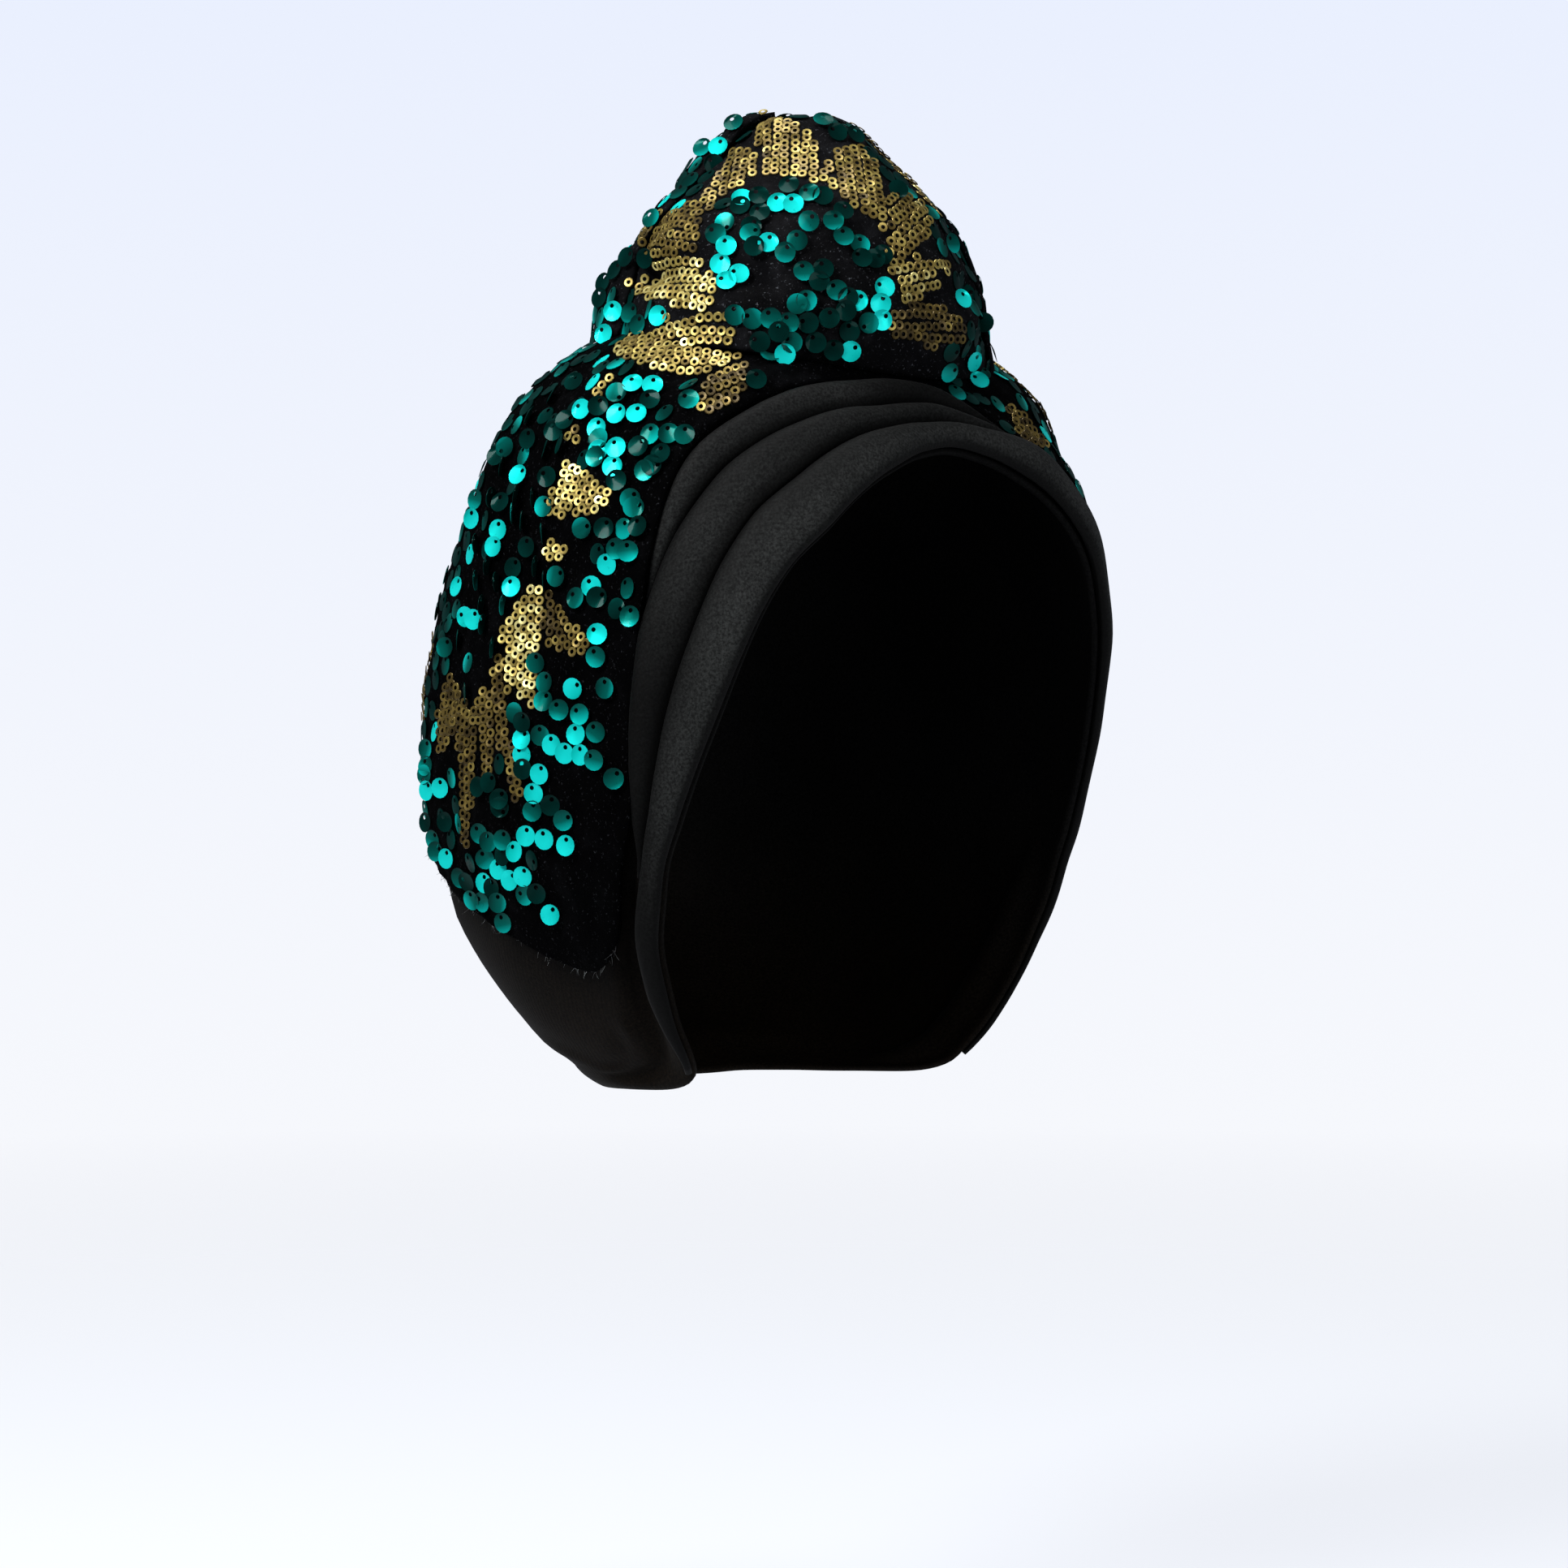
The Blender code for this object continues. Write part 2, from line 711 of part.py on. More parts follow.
def lobe_thickness(turn, lift):
    by_lift = between_rows(LOBE_BY_LIFT, lift)[0]
    by_turn = between_rows(LOBE_BY_TURN, turn)[0]
    return LOBE_EDGE + (LOBE_THICKNESS - LOBE_EDGE) * by_lift * by_turn


def slab(name, outer, inner, finish):
    """A closed body between two grids of points that match one for one."""
    rows, columns = len(outer), len(outer[0])
    points = [point for row in outer for point in row] + [point for row in inner for point in row]
    shift = rows * columns
    faces = ring_faces(rows, columns, closed=False)
    faces += [tuple(index + shift for index in reversed(face)) for face in faces]
    rim = list(range(columns))
    rim += [row * columns + columns - 1 for row in range(1, rows)]
    rim += [(rows - 1) * columns + column for column in range(columns - 2, -1, -1)]
    rim += [row * columns for row in range(rows - 2, 0, -1)]
    for near, after in zip(rim, rim[1:] + rim[:1]):
        faces.append((near, near + shift, after + shift, after))
    return piece(name, points, faces, finish)


def knot_back(finish):
    """The lobe that wraps the dome from the wearer's right round its back."""
    first, last = LOBE_BY_TURN[0][0], LOBE_BY_TURN[-1][0]
    outer, inner = [], []
    turns = [first + (last - first) * (column / LOBE_COLUMNS) ** 1.25 for column in range(LOBE_COLUMNS + 1)]

    def inner_face(heading):
        return dome_point(heading) + heading * LOBE_GAP

    columns = []
    for turn in turns:

        def outer_face(heading, turn=turn):
            lift = math.degrees(math.asin(min(1.0, heading.z)))
            return inner_face(heading) + heading * lobe_thickness(turn, lift)

        column = []
        for face in (outer_face, inner_face):
            lowest = seat_lift(turn, face)
            lifts = [lowest + (LOBE_TOP_LIFT - lowest) * row / LOBE_ROWS for row in range(LOBE_ROWS + 1)]
            column.append([face(knot_heading(turn, lift)) for lift in lifts])
        columns.append(column)
    for row in range(LOBE_ROWS + 1):
        outer.append([column[0][row] for column in columns])
        inner.append([column[1][row] for column in columns])
    return slab("knot_back", outer, inner, finish)


def main():
    for existing in list(bpy.data.objects):
        bpy.data.objects.remove(existing)
    tie = bpy.data.collections.new("head_tie")
    bpy.context.scene.collection.children.link(tie)
    knit = material("black_knit", (0.012, 0.012, 0.013), 0.72)
    velvet = material("sequin_velvet", (0.008, 0.008, 0.009), 0.85)
    inner_cap(knit)
    for order, name in enumerate(FOLD_SPANS):
        fold(name, order, knit)
    velvet_overlay(velvet)
    knot_front(velvet)
    knot_back(velvet)


main()
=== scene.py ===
"""Looks of the ready-made head tie: knit cap and folded band, sequinned velvet
over the crown and back, and a padded knot, lit in a plain pale studio.

Metres, +Z up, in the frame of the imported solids: the wearer faces -Y and +X is
the wearer's left. A turn is a bearing in degrees from straight ahead towards
the wearer's right. A seen place is a pixel of the 1932 x 1932 photograph.
"""
import itertools
import json
import math

import bmesh
import bpy
import numpy as np
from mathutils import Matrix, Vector
from mathutils.bvhtree import BVHTree

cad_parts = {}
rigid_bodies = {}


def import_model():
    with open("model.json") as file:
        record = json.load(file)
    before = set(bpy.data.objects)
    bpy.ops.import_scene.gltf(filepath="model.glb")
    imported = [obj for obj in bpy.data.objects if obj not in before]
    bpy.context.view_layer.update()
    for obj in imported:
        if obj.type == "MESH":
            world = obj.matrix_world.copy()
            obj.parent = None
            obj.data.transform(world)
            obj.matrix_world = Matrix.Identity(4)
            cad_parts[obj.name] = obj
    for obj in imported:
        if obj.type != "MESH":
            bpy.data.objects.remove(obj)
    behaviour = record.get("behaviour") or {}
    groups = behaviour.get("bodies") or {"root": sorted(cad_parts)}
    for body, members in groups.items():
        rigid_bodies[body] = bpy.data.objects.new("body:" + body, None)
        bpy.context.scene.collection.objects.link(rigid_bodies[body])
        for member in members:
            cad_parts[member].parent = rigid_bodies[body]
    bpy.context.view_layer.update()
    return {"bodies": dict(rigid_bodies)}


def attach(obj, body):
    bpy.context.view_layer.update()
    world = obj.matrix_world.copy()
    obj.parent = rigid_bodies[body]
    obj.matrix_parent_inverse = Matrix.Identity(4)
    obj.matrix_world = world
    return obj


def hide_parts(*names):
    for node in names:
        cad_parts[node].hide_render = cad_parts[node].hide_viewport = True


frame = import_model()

# Camera: its bearing, distance and height, and the photograph's scale in
# pixels for one metre at a distance of one metre
CAMERA_BEARING = math.radians(-44)
CAMERA_DISTANCE = 1.0
CAMERA_HEIGHT = -0.120
PHOTO_SIZE = 1932
PHOTO_SCALE = 4600
PHOTO_AXIS = (950, 966)
SENSOR = 36.0

# Driving sizes, the same as the solids', with a velvet thinner than its solid
CAP_DROP = 0.2025
SIDE_REACH = 0.0825
FRONT_REACH = 0.0965
BACK_REACH = 0.0935
CORNER_POWER = 2.5
CAP_CLOTH = 0.0016
VELVET_CLOTH = 0.0014
LAYER_GAP = 0.0007
SOLID_VELVET_CLOTH = 0.0018
SEAT_GAP = 0.0005
BAND_WIDTH = 0.038
FOLD_THICKNESS = 0.0052
FOLD_EDGE = 0.0014
BAND_CLEARANCE = 0.0012
KNOT_HEIGHT = 0.0575
KNOT_SIDE = 0.0480
KNOT_FRONT = 0.0490
KNOT_BACK = 0.0430
KNOT_FORWARD = 0.0095
KNOT_CORNER_POWER = 2.1
LOBE_THICKNESS = 0.0086
LOBE_EDGE = 0.0012
LOBE_GAP = 0.0007
KNOT_SEAT = 0.0006
LOBE_TOP_LIFT = 84

HEAD_MIDDLE = np.array([0.0, 0.08 * BACK_REACH, -0.49 * CAP_DROP])
SPREAD_FROM = np.array([0.0, 0.82, 0.57]) / math.hypot(0.82, 0.57)
KNOT_MIDDLE = np.array([0.0, -KNOT_FORWARD, 0.0])
HEAD_REACHES = (SIDE_REACH, FRONT_REACH, BACK_REACH)
KNOT_REACHES = (KNOT_SIDE, KNOT_FRONT, KNOT_BACK)
# How often a search halves its stretch, and the drops between which the crown is
# searched for, as shares of the cap's drop
HALVINGS = 22
CROWN_SEARCH = (-0.35, 0.03)
BODY = list(frame["bodies"])[0]

CAP_SECTIONS = (
    # drop, side, front, back
    (-0.010, 0.00, 0.00, 0.00), (0.000, 0.24, 0.20, 0.18), (0.020, 0.41, 0.34, 0.32),
    (0.044, 0.53, 0.445, 0.385), (0.077, 0.64, 0.52, 0.45), (0.104, 0.725, 0.57, 0.50),
    (0.141, 0.80, 0.632, 0.572), (0.189, 0.85, 0.715, 0.652), (0.242, 0.885, 0.788, 0.717),
    (0.296, 0.91, 0.845, 0.78), (0.350, 0.927, 0.88, 0.85), (0.405, 0.94, 0.907, 0.904),
    (0.469, 0.945, 0.922, 0.945), (0.553, 0.951, 0.922, 0.969), (0.652, 0.945, 0.90, 0.956),
    (0.704, 0.931, 0.88, 0.925), (0.758, 0.905, 0.86, 0.903), (0.811, 0.86, 0.82, 0.84),
    (0.860, 0.80, 0.767, 0.766), (0.906, 0.727, 0.705, 0.68), (0.946, 0.642, 0.642, 0.558),
    (0.978, 0.57, 0.59, 0.47), (0.998, 0.47, 0.54, 0.384), (1.003, 0.30, 0.35, 0.25),
)
VELVET_SECTIONS = (
    # drop, side, front, back
    (-0.030, 0.00, 0.00, 0.00), (-0.022, 0.22, 0.165, 0.17), (-0.007, 0.41, 0.31, 0.34),
    (0.010, 0.545, 0.405, 0.46), (0.030, 0.63, 0.45, 0.524), (0.054, 0.703, 0.505, 0.556),
    (0.077, 0.776, 0.553, 0.567), (0.104, 0.842, 0.602, 0.588), (0.141, 0.897, 0.663, 0.626),
    (0.189, 0.933, 0.747, 0.685), (0.242, 0.958, 0.834, 0.754), (0.296, 0.973, 0.896, 0.815),
    (0.350, 0.985, 0.943, 0.888), (0.405, 0.994, 0.964, 0.941), (0.469, 1.00, 0.974, 0.982),
    (0.553, 1.00, 0.974, 1.005), (0.652, 0.988, 0.953, 0.992), (0.704, 0.967, 0.933, 0.958),
    (0.758, 0.940, 0.90, 0.935), (0.811, 0.895, 0.86, 0.87), (0.860, 0.835, 0.81, 0.80),
)
LEFT_SHOULDER = (
    # drop, more
    (-0.030, 0.00), (-0.007, 0.12), (0.030, 0.30), (0.054, 0.30), (0.077, 0.23), (0.104, 0.14), (0.141, 0.07),
    (0.189, 0.03), (0.242, 0.00),
)
FACE_EDGE = (
    # turn, drop
    (0, 0.173), (10, 0.182), (20, 0.207), (33, 0.274), (40.5, 0.328), (45, 0.382), (48.5, 0.440), (52, 0.505),
    (56.5, 0.586), (59.5, 0.643), (62, 0.689), (63.5, 0.742), (65, 0.795), (65, 0.845), (65, 0.890),
    (64.5, 0.935), (66, 0.964), (76, 0.980), (100, 0.986), (125, 0.988), (150, 0.988), (180, 0.988),
)
VELVET_HEM = (
    # turn, drop
    (71, 0.700), (72.5, 0.765), (76.5, 0.810), (83, 0.828), (92, 0.815), (108, 0.776), (134, 0.693),
    (157, 0.655), (180, 0.645),
)
BAND_STRETCH = (0.270, 0.740)
BAND_MARKS = 44
FOLD_WIDTHS = (
    # run, lower, middle, upper
    (0.14, 0.09, 0.00, 0.00), (0.17, 0.11, 0.00, 0.00), (0.21, 0.12, 0.00, 0.00), (0.25, 0.13, 0.06, 0.00),
    (0.27, 0.18, 0.15, 0.00), (0.29, 0.25, 0.25, 0.00), (0.31, 0.32, 0.315, 0.00), (0.33, 0.36, 0.40, 0.03),
    (0.35, 0.385, 0.41, 0.105), (0.37, 0.40, 0.39, 0.185), (0.39, 0.40, 0.36, 0.235),
    (0.41, 0.385, 0.335, 0.235), (0.43, 0.345, 0.27, 0.235), (0.45, 0.29, 0.22, 0.225),
    (0.475, 0.215, 0.175, 0.195), (0.50, 0.175, 0.15, 0.155), (0.52, 0.20, 0.12, 0.09),
    (0.54, 0.29, 0.065, 0.025), (0.57, 0.37, 0.00, 0.00), (0.63, 0.37, 0.00, 0.00), (0.70, 0.31, 0.00, 0.00),
    (0.78, 0.20, 0.00, 0.00), (0.83, 0.12, 0.00, 0.00), (0.86, 0.09, 0.00, 0.00),
)
# Where each fold starts and ends; the lower one stops a little short of its solid
FOLD_SPANS = {
    "band_fold_lower": (0.157, 0.843),
    "band_fold_middle": (0.245, 0.555),
    "band_fold_upper": (0.335, 0.545),
}
KNOT_SECTIONS = (
    # rise, side, front, back
    (1.00, 0.00, 0.00, 0.00), (0.97, 0.19, 0.20, 0.16), (0.91, 0.32, 0.34, 0.27), (0.78, 0.45, 0.49, 0.39),
    (0.62, 0.63, 0.67, 0.57), (0.47, 0.80, 0.83, 0.76), (0.30, 0.92, 0.92, 0.91), (0.08, 0.99, 0.99, 1.00),
    (-0.05, 1.03, 0.99, 1.00), (-0.19, 1.12, 0.95, 1.00), (-0.30, 1.08, 0.88, 0.95),
    (-0.42, 0.90, 0.75, 0.80),
)
LOBE_BY_LIFT = (
    # lift, thickness
    (-12, 0.75), (8, 0.60), (24, 0.25), (35, 0.12), (46, 0.34), (56, 0.62), (66, 0.66), (75, 0.42),
    (84, 0.00),
)
LOBE_BY_TURN = (
    # turn, thickness
    (110, 0.00), (118, 0.62), (128, 1.00), (200, 1.00), (250, 0.50), (290, 0.15), (316, 0.00),
)
# Creases pressed into the dome, from one bearing and rise to another
KNOT_CREASES = (
    # from_turn, from_rise, to_turn, to_rise, depth, width
    (104, 0.20, 52, 0.13, 0.0060, 0.0032), (-34, 0.17, 6, 0.08, 0.0040, 0.0036),
    (20, 0.34, 2, 0.12, 0.0012, 0.0060),
)


def rows_at(rows, at):
    """Each place's values in a table, with no overshoot between its rows."""
    table = np.array(rows, float)
    table = table[np.argsort(table[:, 0])]
    places, values = table[:, 0], table[:, 1:]
    rise = np.diff(values, axis=0) / np.diff(places)[:, None]
    slope = np.zeros_like(values)
    slope[0] = rise[0]
    before, after = rise[:-1], rise[1:]
    total = np.where(before * after > 0, before + after, 1.0)
    slope[1:-1] = np.where(before * after > 0, 2 * before * after / total, 0.0)
    at = np.clip(np.asarray(at, float), places[0], places[-1])
    low = np.clip(np.searchsorted(places, at, side="right") - 1, 0, len(places) - 2)
    step = (places[low + 1] - places[low])[..., None]
    share = (at - places[low])[..., None] / step
    return (
        values[low] * (1 + 2 * share) * (1 - share) ** 2
        + slope[low] * step * share * (1 - share) ** 2
        + values[low + 1] * share**2 * (3 - 2 * share)
        + slope[low + 1] * step * share**2 * (share - 1)
    )


def unit(vectors):
    return vectors / np.maximum(np.linalg.norm(vectors, axis=-1, keepdims=True), 1e-12)


def inside_sections(points, sections, reaches, drop_unit, power):
    """Whether each point lies inside a form given by level sections."""
    drop = -points[..., 2] / drop_unit
    places = [row[0] for row in sections]
    side, front, back = np.moveaxis(rows_at(sections, drop), -1, 0)
    if sections is VELVET_SECTIONS:
        fuller = 1 + rows_at(LEFT_SHOULDER, drop)[..., 0]
        side = np.where(points[..., 0] > 0, side * fuller, side)
    side_size = np.maximum(side * reaches[0], 1e-5)
    depth = np.where(points[..., 1] < 0, front * reaches[1], back * reaches[2])
    total = np.abs(points[..., 0] / side_size) ** power
    total += np.abs(points[..., 1] / np.maximum(depth, 1e-5)) ** power
    return (total < 1) & (drop > min(places)) & (drop < max(places))


def inside_cap(points):
    return inside_sections(points, CAP_SECTIONS, HEAD_REACHES, CAP_DROP, CORNER_POWER)


def inside_velvet(points):
    return inside_sections(points, VELVET_SECTIONS, HEAD_REACHES, CAP_DROP, CORNER_POWER)


KNOT_DROPS = tuple((-row[0], *row[1:]) for row in KNOT_SECTIONS)


def inside_dome(points):
    return inside_sections(points - KNOT_MIDDLE, KNOT_DROPS, KNOT_REACHES, KNOT_HEIGHT, KNOT_CORNER_POWER)


def halved(low, high, is_low, times):
    """The two sides of a border between low and high, closed in on by halving."""
    for _ in range(times):
        middle = (low + high) / 2
        below = is_low(middle)
        low, high = np.where(below, middle, low), np.where(below, high, middle)
    return low, high


def reach_along(start, headings, is_inside):
    """The distance from one point to a form's face along each heading."""
    near, far = np.zeros(headings.shape[:-1]), np.full(headings.shape[:-1], CAP_DROP)
    return halved(near, far, lambda size: is_inside(start + headings * size[..., None]), HALVINGS)[0]


def on_section(sections, turn, drop):
    """Points on a sectioned face, from their bearings in degrees and drops."""
    side, front, back = np.moveaxis(rows_at(sections, drop), -1, 0)
    if sections is VELVET_SECTIONS:
        side = np.where(turn < 0, side * (1 + rows_at(LEFT_SHOULDER, drop)[..., 0]), side)
    across, ahead = np.sin(np.radians(turn)), np.cos(np.radians(turn))
    depth = np.where(ahead > 0, front * FRONT_REACH, back * BACK_REACH)
    size = np.abs(across / (side * SIDE_REACH)) ** CORNER_POWER + np.abs(ahead / depth) ** CORNER_POWER
    size = size ** (-1 / CORNER_POWER)
    return np.stack([-across * size, -ahead * size, -drop * CAP_DROP], axis=-1)


def run_marks(points):
    """Rows of run and place: 0 at the nape, 0.5 at the forehead, 1 at the nape."""
    middle = int(np.argmax(-points[:, 1] - 3 * np.abs(points[:, 0])))
    lengths = np.concatenate([[0], np.cumsum(np.linalg.norm(np.diff(points, axis=0), axis=1))])
    half, whole = lengths[middle], lengths[-1]
    marks = np.where(lengths <= half, 0.5 * lengths / half, 0.5 + 0.5 * (lengths - half) / (whole - half))
    return np.column_stack([marks, points])


def both_sides(sections, rows):
    """The points of a table of edge rows on the wearer's right and left."""
    turn, drop = np.array(rows, float).T
    return on_section(sections, turn, drop), on_section(sections, -turn, drop)


CAP_RIGHT, CAP_LEFT = both_sides(CAP_SECTIONS, FACE_EDGE)
CAP_EDGE = run_marks(np.concatenate([CAP_RIGHT[::-1], CAP_LEFT[1:]]))


def angle_to_spread(headings):
    return np.arccos(np.clip(headings @ SPREAD_FROM, -1, 1))


def towards_spread(edges, share):
    """Headings a share of the way along the arc from an edge to the back."""
    start = unit(edges)
    angle = angle_to_spread(start)[..., None]
    share = np.asarray(share)[..., None]
    mixed = start * np.sin((1 - share) * angle) + SPREAD_FROM * np.sin(share * angle)
    return unit(mixed / np.sin(angle))


def cap_way_back(run):
    """The length over the cap from its edge to the point that its headings spread from."""
    edge = rows_at(CAP_EDGE, run) - HEAD_MIDDLE
    return angle_to_spread(unit(edge)) * np.linalg.norm(edge, axis=-1)


def cap_headings(run, inward):
    """Headings from the head's middle to places in from the cap's edge."""
    edge = rows_at(CAP_EDGE, run) - HEAD_MIDDLE
    return towards_spread(edge, np.clip(inward / cap_way_back(run), 0, 1))


# Dents and soft folds of the pouch and rim: where along the run and how far in
# from the edge each lies, its size both ways, its slant and its height
CAP_DENTS = (
    # run, inward, run_size, inward_size, slant, height
    (0.185, 0.0100, 0.060, 0.0034, 0.00, -0.0050), (0.815, 0.0100, 0.060, 0.0034, 0.00, -0.0050),
    (0.148, 0.0200, 0.018, 0.0040, 0.35, -0.0013), (0.160, 0.0150, 0.020, 0.0018, 0.10, -0.0012),
    (0.130, 0.0140, 0.014, 0.0030, 0.30, -0.0010), (0.110, 0.0300, 0.020, 0.0080, 0.20, 0.0009),
    (0.850, 0.0200, 0.018, 0.0040, -0.35, -0.0012), (0.060, 0.0160, 0.030, 0.0050, 0.00, -0.0008),
    (0.940, 0.0160, 0.030, 0.0050, 0.00, -0.0008), (0.000, 0.0260, 0.050, 0.0100, 0.00, 0.0008),
)


def cap_dents(run, inward):
    height = np.zeros(np.broadcast(run, inward).shape)
    for mark, place, run_size, inward_size, slant, rise in CAP_DENTS:
        off = (run - mark + 0.5) % 1 - 0.5
        along = off / run_size
        across = (inward - place - slant * off * 0.1) / inward_size
        height += rise * np.exp(-(along**4)) * np.exp(-(across**2))
    return height


def cap_points(run, inward):
    headings = cap_headings(run, inward)
    size = reach_along(HEAD_MIDDLE, headings, inside_cap) + cap_dents(run, inward)
    return HEAD_MIDDLE + headings * size[..., None]


def over_cap(headings):
    return reach_along(HEAD_MIDDLE, headings, inside_cap) + LAYER_GAP + SOLID_VELVET_CLOTH


def velvet_reach(headings):
    """How far the velvet's smooth outer face is, which always clears the cap."""
    return np.maximum(reach_along(HEAD_MIDDLE, headings, inside_velvet), over_cap(headings))


def velvet_edge():
    right, left = both_sides(VELVET_SECTIONS, VELVET_HEM)
    start, end = BAND_STRETCH
    run = np.linspace(start, end, BAND_MARKS + 1)
    widths = rows_at(FOLD_WIDTHS, run).sum(axis=-1) * BAND_WIDTH
    headings = cap_headings(run, widths + BAND_CLEARANCE)
    band = HEAD_MIDDLE + headings * velvet_reach(headings)[..., None]
    return run_marks(np.concatenate([right[::-1], band, left]))


VELVET_EDGE = velvet_edge()


def velvet_top(x, y):
    """The height of the velvet's smooth face above each point near the crown."""
    low, high = (np.full(np.shape(x), share * CAP_DROP) for share in CROWN_SEARCH)
    return halved(low, high, lambda z: inside_velvet(np.stack([x, y, z], axis=-1)), HALVINGS)[0]


def knot_headings(turn, lift):
    turn, lift = np.radians(turn), np.radians(lift)
    return np.stack([-np.sin(turn) * np.cos(lift), -np.cos(turn) * np.cos(lift), np.sin(lift)], axis=-1)


def knot_place(turn, rise):
    """A point on the dome's smooth form, from its bearing and its height."""
    side, front, back = rows_at(KNOT_SECTIONS, rise)
    across, ahead = math.sin(math.radians(turn)), math.cos(math.radians(turn))
    depth = front * KNOT_FRONT if ahead > 0 else back * KNOT_BACK
    power = KNOT_CORNER_POWER
    size = (abs(across / (side * KNOT_SIDE)) ** power + abs(ahead / depth) ** power) ** (-1 / power)
    return KNOT_MIDDLE + np.array([-across * size, -ahead * size, rise * KNOT_HEIGHT])


# Rolls of the gathered cloth that swell out between the creases
KNOT_ROLLS = (
    # turn, rise, turn_size, rise_size, height
    (72, 0.02, 26, 0.13, 0.0038), (84, 0.36, 22, 0.14, 0.0012), (20, 0.06, 20, 0.16, 0.0012),
    (-6, 0.62, 26, 0.16, 0.0008),
)


def roll_height(points):
    """How far the rolls swell the dome out at each point."""
    off = points - KNOT_MIDDLE
    turn = np.degrees(np.arctan2(-off[..., 0], -off[..., 1]))
    rise = off[..., 2] / KNOT_HEIGHT
    height = np.zeros(points.shape[:-1])
    for mark, level, turn_size, rise_size, most in KNOT_ROLLS:
        across = (turn - mark + 180) % 360 - 180
        height += most * np.exp(-((across / turn_size) ** 2) - ((rise - level) / rise_size) ** 2)
    return height


def off_line(points, start, end):
    """How far each point is from a straight stretch, and its share of the way along."""
    along = end - start
    share = np.clip((points - start) @ along / (along @ along), 0, 1)
    return np.linalg.norm(points - start - share[..., None] * along, axis=-1), share


def crease_depth(points):
    """How far the creases press the dome in, less what its rolls swell it out."""
    depth = -roll_height(points)
    for from_turn, from_rise, to_turn, to_rise, deepest, width in KNOT_CREASES:
        ends = knot_place(from_turn, from_rise), knot_place(to_turn, to_rise)
        distance, share = off_line(points, *ends)
        depth += deepest * (1 - 0.6 * share) * np.exp(-((distance / width) ** 2))
    return depth


def dome_reach(headings):
    size = reach_along(KNOT_MIDDLE, headings, inside_dome)
    return size - crease_depth(KNOT_MIDDLE + headings * size[..., None])


def waves(points, seed, scale, count=5):
    """A soft, seeded sum of waves over points, from about -1 to 1."""
    random = np.random.default_rng(seed)
    total = np.zeros(points.shape[:-1])
    for _ in range(count):
        direction = unit(random.normal(size=3))
        length = scale * random.uniform(0.7, 1.4)
        total += np.sin(points @ direction * 2 * math.pi / length + random.uniform(0, 2 * math.pi))
    return total / math.sqrt(count)


def grid_faces(rows, columns, closed):
    """Four-sided faces over a grid of points, wrapping round its columns if closed."""
    across = np.arange(columns if closed else columns - 1)
    row, column = np.meshgrid(np.arange(rows - 1), across, indexing="ij")
    near = row * columns
    after = (column + 1) % columns
    corners = [near + column, near + after, near + columns + after, near + columns + column]
    return np.stack(corners, -1).reshape(-1, 4)


def fan(first, second, tip):
    """Triangles from each edge of a ring, between its two points, to one tip."""
    return np.stack([first, second, np.full(len(first), tip)], -1)


def capped(grid):
    """Points and faces of a grid closed round its columns, both ends drawn to a tip."""
    rows, columns = grid.shape[:2]
    tips = np.stack([grid[0].mean(axis=0), grid[-1].mean(axis=0)])
    ring, last, tip = np.arange(columns), (rows - 1) * columns, rows * columns
    after = np.roll(ring, -1)
    groups = [grid_faces(rows, columns, True), fan(after, ring, tip), fan(ring + last, after + last, tip + 1)]
    return np.concatenate([grid.reshape(-1, 3), tips]), groups


def add_object(name, data):
    made = bpy.data.objects.new(name, data)
    bpy.context.scene.collection.objects.link(made)
    return made


def add_piece(name, mesh, finish, nodes=()):
    """A mesh as an object that rides on the head tie's one body."""
    mesh.materials.append(finish)
    made = add_object(name, mesh)
    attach(made, BODY)
    if nodes:
        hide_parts(*nodes)
    return made


def small_pieces(name, points, faces, finish):
    """Many small bodies of four-sided faces as one object, straight from arrays."""
    mesh = bpy.data.meshes.new(name)
    mesh.vertices.add(len(points))
    mesh.vertices.foreach_set("co", np.ascontiguousarray(points, np.float32).ravel())
    mesh.loops.add(faces.size)
    mesh.loops.foreach_set("vertex_index", faces.astype(np.int32).ravel())
    mesh.polygons.add(len(faces))
    mesh.polygons.foreach_set("loop_start", np.arange(0, faces.size, 4, dtype=np.int32))
    mesh.polygons.foreach_set("use_smooth", np.full(len(faces), True))
    mesh.update(calc_edges=True)
    mesh.validate()
    return add_piece(name, mesh, finish)


def turned_out(normals, points):
    """Normals of a grid of points, each turned away from the head's middle."""
    outward = np.einsum("rck,rck->rc", normals, points - HEAD_MIDDLE)
    return np.where(outward[..., None] < 0, -normals, normals)


def cloth_shell(name, grid, thickness, finish, node):
    """A closed sheet: the grid as its outside, its inside a cloth's thickness in."""
    rows, columns = grid.shape[:2]
    along = np.roll(grid, -1, axis=1) - np.roll(grid, 1, axis=1)
    inner = grid - turned_out(unit(np.cross(along, np.gradient(grid, axis=0))), grid) * thickness
    tips = np.stack([grid[-1].mean(axis=0), inner[-1].mean(axis=0)])
    points = np.concatenate([grid.reshape(-1, 3), inner.reshape(-1, 3), tips])
    shift, last = rows * columns, (rows - 1) * columns
    ring = np.arange(columns)
    after = np.roll(ring, -1)
    outside = grid_faces(rows, columns, True)
    rim = np.stack([ring, ring + shift, after + shift, after], -1)
    quads = np.concatenate([outside, outside[:, ::-1] + shift, rim])
    a, b, c = points[quads[0, :3]]
    if np.cross(b - a, c - b) @ (a - HEAD_MIDDLE) < 0:
        quads = quads[:, ::-1]
    outer_tip = fan(ring + last, after + last, 2 * shift)
    inner_tip = fan(ring + last + shift, after + last + shift, 2 * shift + 1)[:, ::-1]
    return cloth_piece(name, points, [quads, outer_tip, inner_tip], finish, node)


